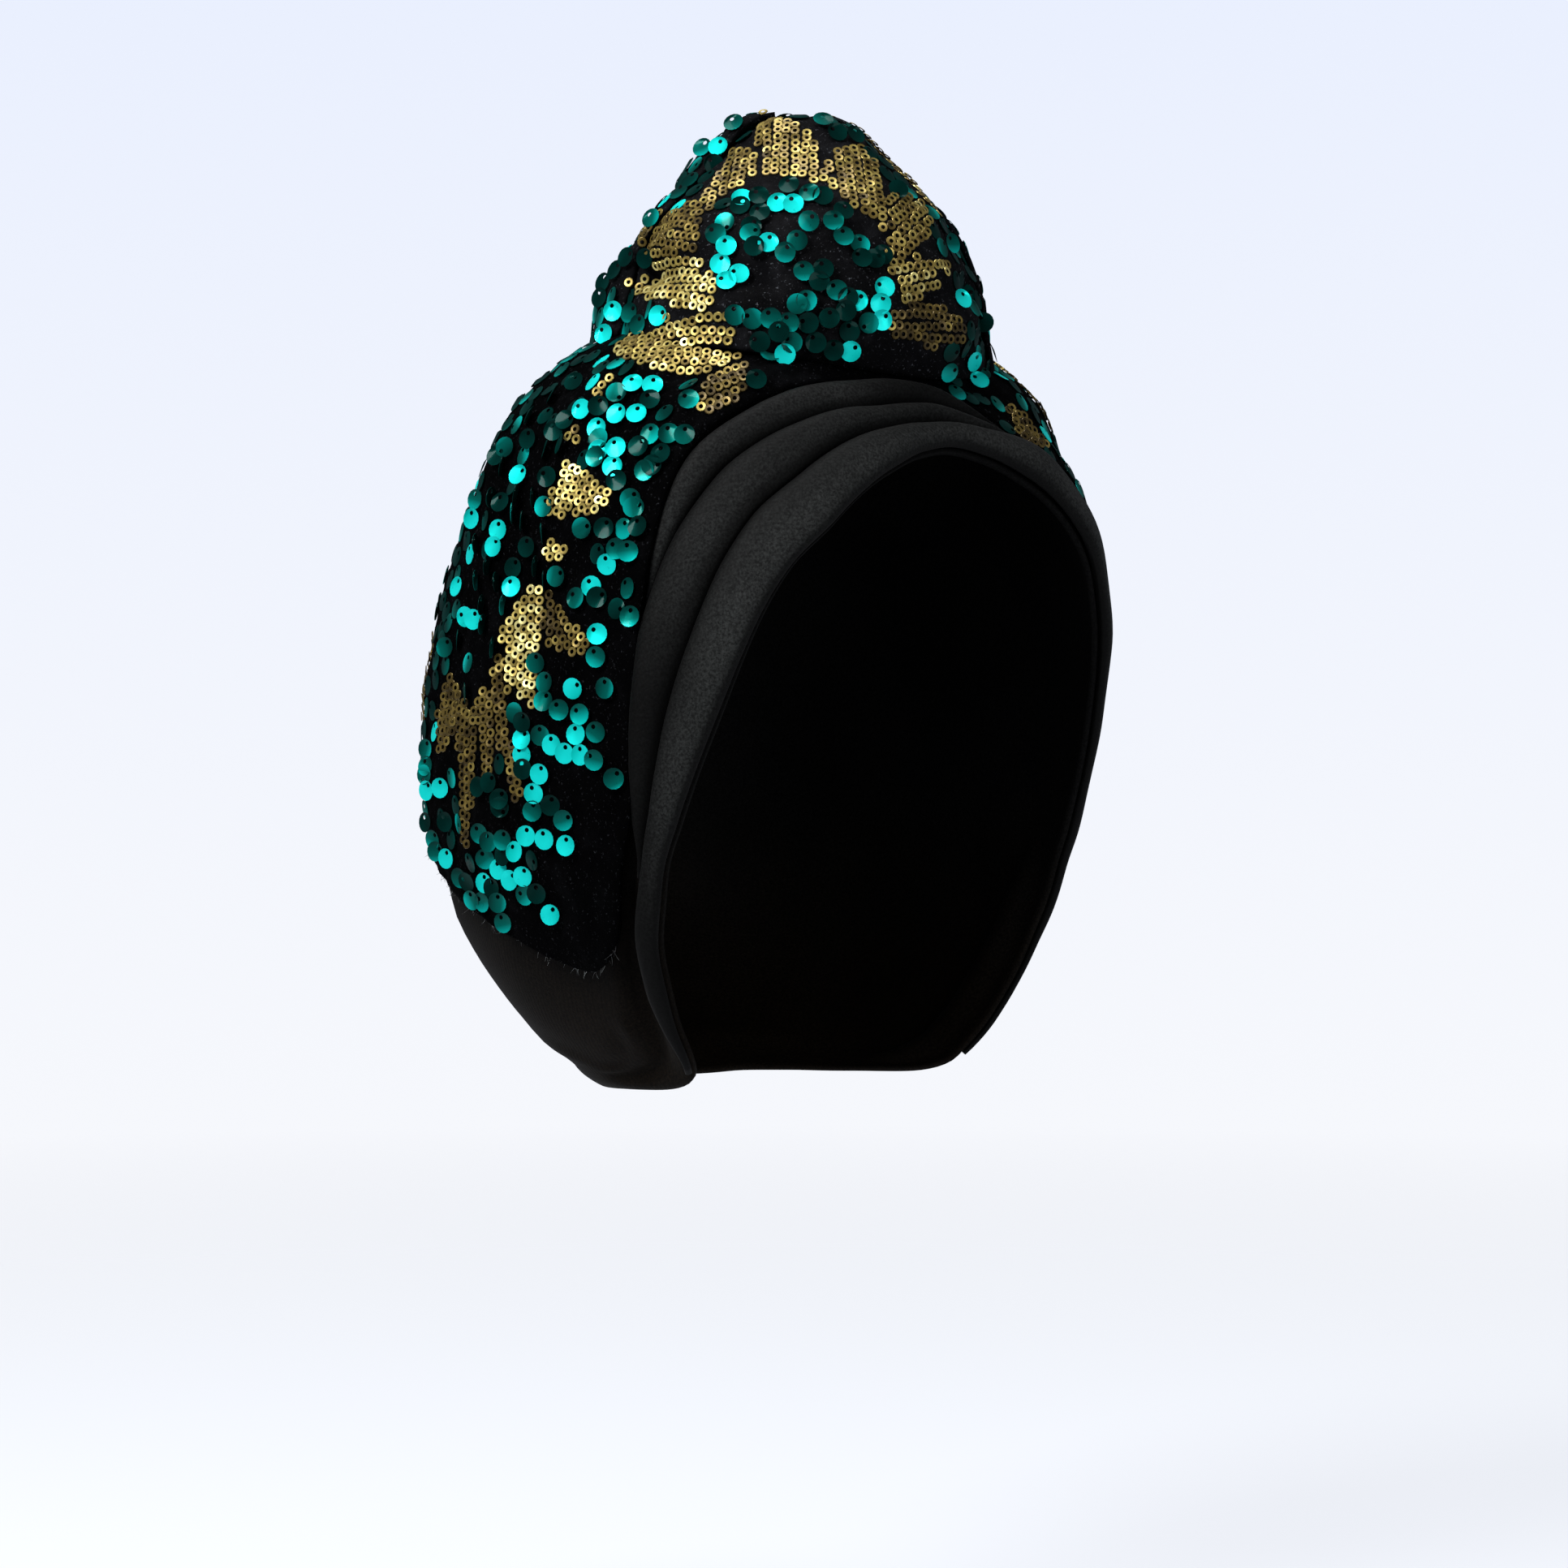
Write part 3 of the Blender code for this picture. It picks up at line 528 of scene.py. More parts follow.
def cloth_piece(name, points, groups, finish, node, fold_painted_shading=None):
    """Quads and triangles as one object, its faces turned out together, with the
    painted light and shade of each point of a fold, if that is given."""
    mesh = bpy.data.meshes.new(name)
    mesh.from_pydata(points.tolist(), [], [face for group in groups for face in group.tolist()])
    body = bmesh.new()
    body.from_mesh(mesh)
    bmesh.ops.recalc_face_normals(body, faces=body.faces)
    body.to_mesh(mesh)
    body.free()
    if fold_painted_shading is not None:
        # Painted light and shade of each point of a fold, kept in the point attribute depth
        depth = mesh.attributes.new("depth", "FLOAT", "POINT")
        depth.data.foreach_set("value", np.asarray(fold_painted_shading, np.float32))
    mesh.shade_smooth()
    return add_piece(name, mesh, finish, [node])


# Rows in from the edge, finer along it, columns round it, and the pouch's puckers
CAP_ROWS = np.concatenate([np.linspace(0, 0.12, 15), np.linspace(0.135, 0.96, 34)])
CAP_COLUMNS = 240
CAP_PUCKER = 0.0006
PUCKER_DROP = 0.11


def inner_cap(finish):
    """The knit cap as a closed shell, its pouch a little puckered."""
    run = np.arange(CAP_COLUMNS) / CAP_COLUMNS
    inward = CAP_ROWS[:, None] * cap_way_back(run)
    grid = cap_points(np.broadcast_to(run, inward.shape), inward)
    lowness = np.clip((-grid[..., 2] - PUCKER_DROP) / 0.05, 0, 1) * np.clip(CAP_ROWS / 0.05, 0, 1)[:, None]
    puckers = CAP_PUCKER * waves(grid, 3, 0.05) * lowness
    grid = grid + unit(grid - HEAD_MIDDLE) * puckers[..., None]
    return cloth_shell("inner_cap_knit", grid, CAP_CLOTH, finish, "inner_cap")


# The round of a fold: places across it from the face to the back, and heights
# as shares of its thickness, round its outside and back along the cap
FOLD_ROUND = (
    # across, height
    (0.000, 0.16), (-0.004, 0.34), (0.03, 0.54), (0.10, 0.70), (0.24, 0.84), (0.42, 0.94), (0.60, 1.00),
    (0.76, 0.99), (0.89, 0.88), (0.98, 0.68), (1.02, 0.46), (1.00, 0.26), (0.93, 0.12), (0.70, 0.05),
    (0.35, 0.04), (0.08, 0.06),
)
TUCKED_ROUND = (
    # across, height
    (0.000, 0.05), (0.000, 0.14), (0.05, 0.30), (0.14, 0.50), (0.28, 0.72), (0.44, 0.88), (0.60, 0.98),
    (0.76, 0.98), (0.89, 0.86), (0.98, 0.66), (1.02, 0.44), (1.00, 0.24), (0.93, 0.11), (0.70, 0.04),
    (0.35, 0.03), (0.08, 0.02),
)


# Painted light and shade across a fold, from the face to the back: painted light near the face edge, painted
# shade towards the back
FOLD_PAINTED_LIGHT = (
    # across, share
    (0.00, 0.90), (0.08, 1.25), (0.30, 1.15), (0.60, 0.82), (0.85, 0.72), (1.00, 0.40),
)


# How much of that painted light each fold keeps at places along its run: painted
# shade low down, and painted shadow where the knot shades it
FOLD_SHADE = {
    "band_fold_lower": ((0.16, 0.45), (0.22, 0.50), (0.25, 0.80), (0.28, 1.00), (0.72, 1.00), (0.78, 0.45)),
    "band_fold_middle": ((0.24, 0.35), (0.31, 0.50), (0.34, 0.85), (0.37, 1.00), (0.55, 0.90)),
    "band_fold_upper": ((0.45, 1.00), (0.49, 0.62), (0.55, 0.50)),
}


def rounded(points):
    """A closed line of points with its corners cut off."""
    after = np.roll(points, -1, axis=0)
    return np.stack([points * 0.75 + after * 0.25, points * 0.25 + after * 0.75], 1).reshape(-1, 2)


# Rows for the whole run, the least width, the share of the band's width from which
# a fold is fully thick, and the steps over which the cap's slope is taken
FOLD_ROWS = 260
FOLD_LEAST_WIDTH = 0.0016
FOLD_FULL_WIDTH = 0.22
SLOPE_RUN = 0.002
SLOPE_STEP = 0.0009


def fold(name, order, finish):
    """One soft fold of the band, rolled over onto the fold behind it."""
    start, end = FOLD_SPANS[name]
    run = np.linspace(start, end, int(FOLD_ROWS * (end - start)) + 2)
    share = (run - start) / (end - start)
    from_end = np.minimum(share, 1 - share)
    widths = rows_at(FOLD_WIDTHS, run) * BAND_WIDTH
    inner_edge = widths[:, :order].sum(axis=1) + order * SEAT_GAP
    width = np.maximum(widths[:, order] * np.clip(0.3 + 12 * from_end, 0, 1), FOLD_LEAST_WIDTH)
    fullness = np.clip(5 * from_end, 0, 1) * np.clip(width / (FOLD_FULL_WIDTH * BAND_WIDTH), 0, 1)
    thickness = FOLD_EDGE + (FOLD_THICKNESS - FOLD_EDGE) * np.sqrt(fullness)
    thickness *= 1 + 0.06 * np.sin(run * 61 + order) + 0.04 * np.sin(run * 140 + 2 * order)
    section = rounded(np.array(FOLD_ROUND if order == 0 else TUCKED_ROUND))
    across = np.maximum(inner_edge[:, None] + section[:, 0] * width[:, None], 0.0)
    height = SEAT_GAP + section[:, 1] * thickness[:, None]
    runs = np.broadcast_to(run[:, None], across.shape)
    base = cap_points(runs, across)
    before, beyond = (cap_points(runs + way, across + SLOPE_STEP) for way in (-SLOPE_RUN, SLOPE_RUN))
    inwards = cap_points(runs, across + 2 * SLOPE_STEP) - base
    out = turned_out(unit(np.cross(beyond - before, inwards)), base)
    points, groups = capped(base + out * height[..., None])
    # Painted shade low in the valleys from each point's height in the fold, times the painted light across it
    painted_light_and_shade = section[:, 1] * np.interp(section[:, 0], *np.transpose(FOLD_PAINTED_LIGHT))
    shade = np.interp(run, *np.transpose(FOLD_SHADE[name]))
    fold_painted_shading = np.concatenate([(shade[:, None] * painted_light_and_shade).ravel(), [0, 0]])
    return cloth_piece(name + "_knit", points, groups, finish, name, fold_painted_shading)


# Gathers and dents of the velvet: a seen place and the way each one runs, its
# length and width in metres and its height
VELVET_DENTS = (
    # x, y, to_x, to_y, width, height
    (840, 462, 775, 600, 0.0060, -0.0022), (700, 425, 640, 520, 0.0050, -0.0014),
    (770, 440, 690, 590, 0.0050, 0.0012), (640, 560, 585, 720, 0.0055, -0.0010),
    (1215, 430, 1290, 520, 0.0045, -0.0012), (745, 640, 690, 860, 0.0070, 0.0010),
    (800, 600, 770, 760, 0.0040, -0.0010),
)


def seen_heading(x, y):
    """The way from the camera through a pixel of the photograph."""
    side, rise = (x - PHOTO_AXIS[0]) / PHOTO_SCALE, (PHOTO_AXIS[1] - y) / PHOTO_SCALE
    ahead, right = camera_axes()
    return unit(ahead + side * right + rise * np.array([0, 0, 1.0]))


def camera_axes():
    turn = CAMERA_BEARING
    return np.array([-math.sin(turn), math.cos(turn), 0]), np.array([math.cos(turn), math.sin(turn), 0])


def camera_place():
    ahead, _ = camera_axes()
    return -ahead * CAMERA_DISTANCE + np.array([0, 0, CAMERA_HEIGHT])


def bvh_of(objects):
    points, faces = [], []
    for made in objects:
        shift = len(points)
        points += [vertex.co.copy() for vertex in made.data.vertices]
        faces += [[index + shift for index in polygon.vertices] for polygon in made.data.polygons]
    return BVHTree.FromPolygons(points, faces)


def seen_on(tree, x, y):
    """Where the camera's line through a pixel first meets a surface."""
    hit = tree.ray_cast(Vector(camera_place()), Vector(seen_heading(x, y)))
    return (None, None) if hit[0] is None else (np.array(hit[0]), np.array(hit[1]))


def smooth_velvet(rows, columns):
    """Headings and points of the velvet's smooth face, from its edge to the back."""
    edge = rows_at(VELVET_EDGE, np.arange(columns) / columns) - HEAD_MIDDLE
    share = np.broadcast_to(rows[:, None], (len(rows), columns))
    headings = towards_spread(np.broadcast_to(edge, (len(rows), columns, 3)), share)
    return headings, HEAD_MIDDLE + headings * velvet_reach(headings)[..., None]


def velvet_grid(rows, columns, dents):
    """Points of the velvet's face with its gathers, which stays clear of the cap."""
    headings, grid = smooth_velvet(rows, columns)
    lift = np.zeros(grid.shape[:2])
    for start, end, width, height in dents:
        distance, share = off_line(grid, start, end)
        lift += height * np.exp(-((distance / width) ** 2)) * np.sqrt(np.clip(1.15 - share, 0, 1))
    free = np.clip(rows / 0.06, 0, 1)[:, None]
    lift = lift * free + 0.0007 * waves(grid, 11, 0.034) * free + 0.00022 * waves(grid, 12, 0.009)
    reach = np.linalg.norm(grid - HEAD_MIDDLE, axis=-1) + lift
    least = over_cap(headings) - SOLID_VELVET_CLOTH + VELVET_CLOTH
    return HEAD_MIDDLE + headings * np.maximum(reach, least)[..., None]


# Rows in from the edge, finer along it, and columns round the head
VELVET_ROWS = np.concatenate([np.linspace(0, 0.10, 9), np.linspace(0.115, 0.97, 66)])
VELVET_COLUMNS = 300
COARSE_ROWS = np.linspace(0, 0.97, 30)
COARSE_COLUMNS = 90


def velvet_overlay(finish):
    grid = velvet_grid(VELVET_ROWS, VELVET_COLUMNS, velvet_dents())
    return cloth_shell(
        "velvet_overlay_cloth", grid, VELVET_CLOTH, finish, "velvet_overlay"
    )


def velvet_dents():
    """The velvet's gathers as lines on its smooth face, and their mirrored twins."""
    _, grid = smooth_velvet(COARSE_ROWS, COARSE_COLUMNS)
    faces = grid_faces(len(COARSE_ROWS), COARSE_COLUMNS, True)
    tree = BVHTree.FromPolygons(grid.reshape(-1, 3).tolist(), faces.tolist())
    dents = []
    for x, y, to_x, to_y, width, height in VELVET_DENTS:
        start, end = seen_on(tree, x, y)[0], seen_on(tree, to_x, to_y)[0]
        if start is not None and end is not None:
            dents += [(start, end, width, height), (start * TWIN, end * TWIN, width, height)]
    return dents


# Rows and columns of the knot's forms, and the lifts between which their foot is searched
DOME_ROWS = 62
DOME_COLUMNS = 180
LOBE_ROWS = 110
LOBE_COLUMNS = 46
FOOT_LIFT = 60.0
FOOT_HALVINGS = 20


def foot_lifts(turns, reach_of):
    """The lift at each bearing at which a form of the knot meets the velvet."""

    def is_under(lift):
        heading = knot_headings(turns, lift)
        x, y, z = (KNOT_MIDDLE + heading * reach_of(heading)[..., None]).T
        return ~(z > velvet_top(x, y) + KNOT_SEAT)

    ends = (np.full(len(turns), lift) for lift in (-FOOT_LIFT, FOOT_LIFT))
    return halved(*ends, is_under, FOOT_HALVINGS)[1]


def knot_front(finish):
    """The padded dome with its gathers, closed below along the velvet."""
    turns = np.arange(DOME_COLUMNS) * 360 / DOME_COLUMNS
    share = np.linspace(0.02, 1, DOME_ROWS)[:, None] ** 0.9
    lift = 90 - (90 - foot_lifts(turns, dome_reach)) * share
    heading = knot_headings(np.broadcast_to(turns, lift.shape), lift)
    reach = dome_reach(heading)
    face = KNOT_MIDDLE + heading * reach[..., None]
    soft = np.clip((1 - share) / 0.12, 0, 1)
    reach = reach + (0.0006 * waves(face, 21, 0.030) + 0.00020 * waves(face, 22, 0.008)) * soft
    grid = KNOT_MIDDLE + heading * reach[..., None]
    base = []
    for part in (0.94, 0.75, 0.45, 0.15):
        x, y = (KNOT_MIDDLE + (grid[-1] - KNOT_MIDDLE) * part)[:, :2].T
        base.append(np.stack([x, y, velvet_top(x, y) + KNOT_SEAT], -1))
    points, groups = capped(np.concatenate([grid, base]))
    return cloth_piece("knot_front_velvet", points, groups, finish, "knot_front")


def lobe_thickness(turn, lift):
    share = rows_at(LOBE_BY_LIFT, lift)[..., 0] * rows_at(LOBE_BY_TURN, turn)[..., 0]
    return LOBE_EDGE + (LOBE_THICKNESS - LOBE_EDGE) * share


def eased(count, rate):
    """A share that rises from 0 at both ends of a row of points to 1 between."""
    way = np.linspace(0, rate, count)
    return np.clip(np.minimum(way, way[::-1]), 0, 1)


def knot_back(finish):
    """The knot's second lobe, laid round the dome, closed along its edges."""
    first, last = LOBE_BY_TURN[0][0], LOBE_BY_TURN[-1][0]
    turns = first + (last - first) * np.linspace(0, 1, LOBE_ROWS) ** 1.15

    def inner_reach(heading):
        return dome_reach(heading) + LOBE_GAP

    def outer_reach(heading):
        lift = np.degrees(np.arcsin(np.clip(heading[..., 2], -1, 1)))
        return inner_reach(heading) + lobe_thickness(turns[:, None] if lift.ndim == 2 else turns, lift)

    sides = []
    for reach_of in (outer_reach, inner_reach):
        foot = foot_lifts(turns, reach_of)[:, None]
        lift = foot + (LOBE_TOP_LIFT - foot) * np.linspace(0, 1, LOBE_COLUMNS)
        heading = knot_headings(np.broadcast_to(turns[:, None], lift.shape), lift)
        reach = reach_of(heading)
        if reach_of is outer_reach:
            face = KNOT_MIDDLE + heading * reach[..., None]
            soft = eased(LOBE_ROWS, 12)[:, None] * eased(LOBE_COLUMNS, 8)
            reach = reach + 0.0008 * waves(face, 31, 0.022) * soft
        sides.append((KNOT_MIDDLE + heading * reach[..., None]).reshape(-1, 3))
    rows, columns = LOBE_ROWS, LOBE_COLUMNS
    shift = rows * columns
    near = grid_faces(rows, columns, False)
    rim = (
        np.arange(columns),
        np.arange(1, rows) * columns + columns - 1,
        (rows - 1) * columns + np.arange(columns - 2, -1, -1),
        np.arange(rows - 2, 0, -1) * columns,
    )
    rim = np.concatenate(rim)
    after = np.roll(rim, -1)
    edge = np.stack([rim, rim + shift, after + shift, after], -1)
    groups = [near, near[:, ::-1] + shift, edge]
    return cloth_piece("knot_back_velvet", np.concatenate(sides), groups, finish, "knot_back")


# Sequins: the cupped teal ones hang by a hole near their edge, the flat gold
# rings overlap in rows
TEAL_RADIUS = 0.0027
TEAL_HOLE = 0.00060
TEAL_HOLE_OFF = 0.0015
TEAL_CUP = 0.00042
TEAL_FILM = 0.00012
TEAL_SIDES = 16
GOLD_RADIUS = 0.00134
GOLD_HOLE = 0.00058
GOLD_CREST = 0.00018
GOLD_SIDES = 10
GOLD_ROW = 0.00250
GOLD_STEP = 0.00240
GOLD_LEAN = 7
GOLD_STRAY = 0.00010
GOLD_WAVE = 0.00028
GOLD_LIFT = 0.00035
GOLD_CLEAR = 0.78 * GOLD_STEP
GOLD_SPREAD = 0.14
# How far the seen sequins lean towards the viewer, and how far rings hang over
GOLD_TURN = 0.30
TEAL_TURN = 0.35
GOLD_HANG = 0.12
# From how far over a petal its rings are laid down on the cloth, and how far they may go
PETAL_RAISED = 0.02
PETAL_DROP = 0.05
# How squarely a place faces the camera, as a cosine: where a stretch counts as
# crowded, where its sequins may stand on edge, and below which others are spread
CROWD_FACING = 0.25
EDGE_FACING = 0.45
SPREAD_FACING = 0.38
FAR_FACING = 0.15
GOLD_SEED = 5
TEAL_SEED = 9
THREAD_SEED = 17
# How much painted shading runs across each sequin, lighter on one side and darker on the other
TEAL_PAINTED_SHADING = 0.20
GOLD_PAINTED_SHADING = 0.10


def ring_template(profile, sides):
    """Rings of points about a moving middle, closed into a ring-shaped body."""
    angle = np.arange(sides) * 2 * math.pi / sides
    rings = []
    for size, off, height in profile:
        rings.append(np.stack([size * np.cos(angle), off + size * np.sin(angle), np.full(sides, height)], -1))
    count = len(profile)
    ring, side = np.meshgrid(np.arange(count), np.arange(sides), indexing="ij")
    after, beyond = (side + 1) % sides, (ring + 1) % count
    corners = [ring * sides + side, ring * sides + after, beyond * sides + after, beyond * sides + side]
    return np.concatenate(rings), np.stack(corners, -1).reshape(-1, 4)


def teal_template(rings):
    """A cupped disc: two or three rings from its rim to its hole, and their undersides."""
    ways = [(TEAL_RADIUS, 0.0), (TEAL_HOLE, TEAL_HOLE_OFF)]
    if rings == 3:
        ways.insert(1, (TEAL_RADIUS * 0.62, TEAL_HOLE_OFF * 0.45))
    rise = 1 if rings == 3 else -0.7
    shares = [(size / TEAL_RADIUS) ** 2 - (rise < 0) for size, _ in ways]
    top = [(size, off, rise * TEAL_CUP * share) for (size, off), share in zip(ways, shares)]
    bottom = [(radius, off, height - TEAL_FILM) for radius, off, height in top[::-1]]
    return ring_template(top + bottom, TEAL_SIDES)


def gold_template():
    profile = (
        (GOLD_RADIUS, 0.0, 0.0),
        (GOLD_RADIUS * 0.90, 0.0, GOLD_CREST),
        (GOLD_HOLE, 0.0, GOLD_CREST * 0.7),
        (GOLD_RADIUS * 0.75, 0.0, -GOLD_CREST * 0.3),
    )
    return ring_template(profile, GOLD_SIDES)


def sequin_piece(name, template, places, ups, ways, tones, change, random, finish):
    """All sequins of one kind as one mesh: each has a place, an up direction, the
    way that its hole lies and a tone, with painted shading from one of its sides to the other."""
    points, faces = template
    sides = unit(np.cross(ways, ups))
    bases = np.stack([sides, np.cross(ups, sides), ups], axis=1)
    every = np.einsum("pk,nkd->npd", points, bases) + places[:, None, :]
    count = len(places)
    all_faces = faces[None] + (np.arange(count) * len(points))[:, None, None]
    made = small_pieces(name, every.reshape(-1, 3), all_faces.reshape(-1, 4), finish)
    # Painted shading: a tone that rises across each sequin, as a cup catches light on one side
    heading = random.uniform(-math.pi, 0, count)
    across = points[:, :2] @ np.stack([np.cos(heading), np.sin(heading)]) / points[:, :2].max()
    shaded = np.clip(tones[:, None] + change * across.T, 0, 1)
    tone = made.data.attributes.new("tone", "FLOAT", "POINT")
    tone.data.foreach_set("value", shaded.astype(np.float32).ravel())
    made.data.set_sharp_from_angle(angle=math.radians(50))


def tilted(normals, random, most):
    """Each normal leant a little to a random side."""
    lean = unit(np.cross(normals, unit(random.normal(size=normals.shape))))
    amount = np.tan(np.radians(random.uniform(0, most, len(normals))))[:, None]
    return unit(normals + lean * amount)


def inside_outline(u, v, outline):
    """Whether each point of a plane is inside a closed outline."""
    inside = np.zeros(u.shape, bool)
    for (u0, v0), (u1, v1) in zip(outline, np.roll(outline, -1, axis=0)):
        crosses = (v0 > v) != (v1 > v)
        at = u0 + (v - v0) * (u1 - u0) / (v1 - v0 if v1 != v0 else 1e-12)
        inside ^= crosses & (u < at)
    return inside


def petal_places(tree, outline, start, end, random):
    """Places and normals of rings in rows along a petal, on the surface below."""
    middle = outline.mean(axis=0)
    normal = np.array(tree.find_nearest(Vector(middle))[1])
    if normal @ (middle - HEAD_MIDDLE) < 0:
        normal = -normal
    spread = outline - middle
    fitted = np.linalg.svd(spread)[2][2]
    if fitted @ normal < 0:
        fitted = -fitted
    normal = unit(normal * 0.4 + fitted * 0.6)
    along = end - start
    along = unit(along - normal * (along @ normal))
    across = np.cross(normal, along)
    flat = np.stack([spread @ along, spread @ across], -1)
    low, high = flat.min(axis=0), flat.max(axis=0)
    found = []
    for v in np.arange(low[1] + GOLD_ROW * 0.35, high[1], GOLD_ROW):
        u = np.arange(low[0] + random.uniform(0, GOLD_STEP), high[0], GOLD_STEP)
        u = u + random.normal(0, GOLD_STRAY, len(u))
        vs = v + GOLD_WAVE * np.sin(u / 0.006 + v * 900) + random.normal(0, GOLD_STRAY, len(u))
        inside = inside_outline(u, vs, flat)
        for a, b in zip(u[inside], vs[inside]):
            above = middle + along * a + across * b + normal * PETAL_RAISED
            hit = tree.ray_cast(Vector(above), Vector(-normal))
            if hit[0] is not None and hit[3] <= PETAL_DROP:
                up = np.array(hit[1])
                found.append((np.array(hit[0]), up if up @ normal > 0 else -up, along))
    return found


# Enlarged views of the photograph in which the motif was read, each with its
# corner in the photograph, and the distance within which a sequin that is
# in two views counts once
VIEW_CORNERS = {"knot": (680, 120), "side": (500, 480), "low": (500, 880)}
VIEW_ENLARGED = 3
READ_TWICE = 8


def photo_places(view, places):
    """Places in an enlarged view as pixels of the photograph."""
    left, top = VIEW_CORNERS[view]
    return [(left + x / VIEW_ENLARGED, top + y / VIEW_ENLARGED) for x, y in places]


# The flower's gold petals: the tone, which is painted light and shade, the ends of the rows of rings and the
# outline
GOLD_PETALS = (
    # view, tone, start, end, outline
    # top
    ("knot", 0.38, (900, 100), (890, 300), (
        (780, 92), (905, 95), (960, 150), (995, 225), (1020, 320), (960, 310), (880, 305), (775, 285),
        (765, 200))),
    # upper left
    ("knot", 0.35, (690, 190), (640, 400), (
        (670, 190), (745, 195), (762, 285), (700, 320), (620, 385), (565, 440), (555, 370), (600, 300),
        (650, 255))),
    # left
    ("knot", 0.32, (340, 500), (560, 500), (
        (345, 490), (430, 440), (540, 395), (575, 430), (540, 510), (560, 560), (450, 585), (320, 590),
        (318, 540))),
    # left, bright
    ("knot", 0.68, (290, 690), (600, 690), (
        (270, 690), (360, 640), (385, 600), (530, 560), (575, 620), (605, 680), (612, 770), (540, 790),
        (440, 768), (390, 755), (300, 715))),
    # lower left
    ("knot", 0.50, (240, 940), (680, 880), (
        (232, 935), (290, 880), (380, 870), (430, 810), (520, 805), (640, 795), (680, 870), (690, 960),
        (600, 1010), (500, 1015), (400, 1008), (260, 970))),
    # below the knot
    ("knot", 0.16, (540, 1120), (720, 1040), (
        (590, 1040), (710, 985), (728, 1060), (690, 1120), (600, 1165), (545, 1160), (540, 1100))),
    # top right
    ("knot", 0.38, (1120, 180), (1160, 400), (
        (1040, 215), (1110, 175), (1165, 180), (1205, 270), (1222, 340), (1215, 400), (1225, 500),
        (1165, 460), (1100, 410), (1030, 330), (1015, 260))),
    # right
    ("knot", 0.42, (1390, 420), (1250, 540), (
        (1235, 380), (1310, 345), (1380, 410), (1408, 460), (1370, 540), (1340, 610), (1250, 600),
        (1228, 540), (1235, 470))),
    # right tip
    ("knot", 0.60, (1460, 630), (1260, 660), (
        (1250, 600), (1330, 610), (1460, 605), (1465, 640), (1400, 720), (1300, 770), (1280, 740),
        (1290, 690), (1248, 650))),
    # lower right
    ("knot", 0.10, (1530, 860), (1250, 840), (
        (1240, 780), (1380, 765), (1460, 785), (1530, 850), (1520, 910), (1400, 925), (1280, 900),
        (1240, 850))),
    # right shoulder
    ("knot", 0.18, (1680, 1010), (1560, 940), (
        (1555, 930), (1600, 935), (1690, 1010), (1690, 1045), (1620, 1010))),
    # right shoulder, low
    ("knot", 0.20, (1815, 1285), (1680, 1140), (
        (1668, 1134), (1746, 1176), (1836, 1290), (1812, 1308), (1734, 1260))),
    # small strip
    ("knot", 0.50, (165, 1100), (250, 1030), (
        (150, 1110), (180, 1050), (240, 1020), (258, 1040), (200, 1075), (165, 1120))),
    # small three
    ("knot", 0.50, (75, 1260), (120, 1220), ((60, 1260), (85, 1210), (128, 1215), (100, 1270))),
    # triangle
    ("side", 0.58, (600, 260), (560, 450), (
        (590, 255), (640, 265), (700, 320), (775, 405), (700, 450), (610, 470), (525, 465), (550, 360))),
    # triple
    ("side", 0.54, (560, 560), (520, 630), ((540, 555), (590, 590), (575, 620), (530, 640), (510, 610))),
    # tall petal
    ("side", 0.72, (480, 720), (460, 1100), (
        (460, 725), (500, 735), (498, 850), (495, 960), (485, 1090), (510, 1160), (470, 1165), (400, 1110),
        (365, 1050), (358, 880), (400, 820), (440, 770))),
    # dim petal
    ("side", 0.10, (520, 720), (530, 900), (
        (505, 715), (545, 740), (545, 850), (560, 900), (520, 930), (505, 850))),
    # small petal
    ("side", 0.32, (560, 780), (660, 960), (
        (540, 780), (580, 800), (630, 870), (690, 950), (620, 975), (530, 950), (535, 870))),
    # spikes, from the left edge inwards
    ("side", 0.20, (140, 700), (60, 1300), (
        (150, 690), (158, 800), (160, 950), (180, 1080), (120, 1180), (70, 1310), (48, 1300), (70, 1100),
        (100, 850))),
    ("side", 0.19, (180, 1080), (140, 1350), (
        (165, 1050), (205, 1130), (190, 1250), (150, 1330), (125, 1345), (120, 1200))),
    ("side", 0.22, (240, 1140), (235, 1710), (
        (215, 1130), (255, 1160), (262, 1200), (250, 1400), (245, 1700), (222, 1705), (205, 1450),
        (195, 1200))),
    ("side", 0.20, (300, 1090), (300, 1440), (
        (270, 1120), (325, 1100), (330, 1250), (318, 1300), (312, 1435), (290, 1435), (280, 1260),
        (265, 1250))),
    ("side", 0.20, (350, 950), (415, 1510), (
        (330, 950), (380, 1000), (385, 1180), (400, 1320), (420, 1420), (428, 1510), (400, 1510), (370, 1400),
        (345, 1300), (325, 1100))),
)
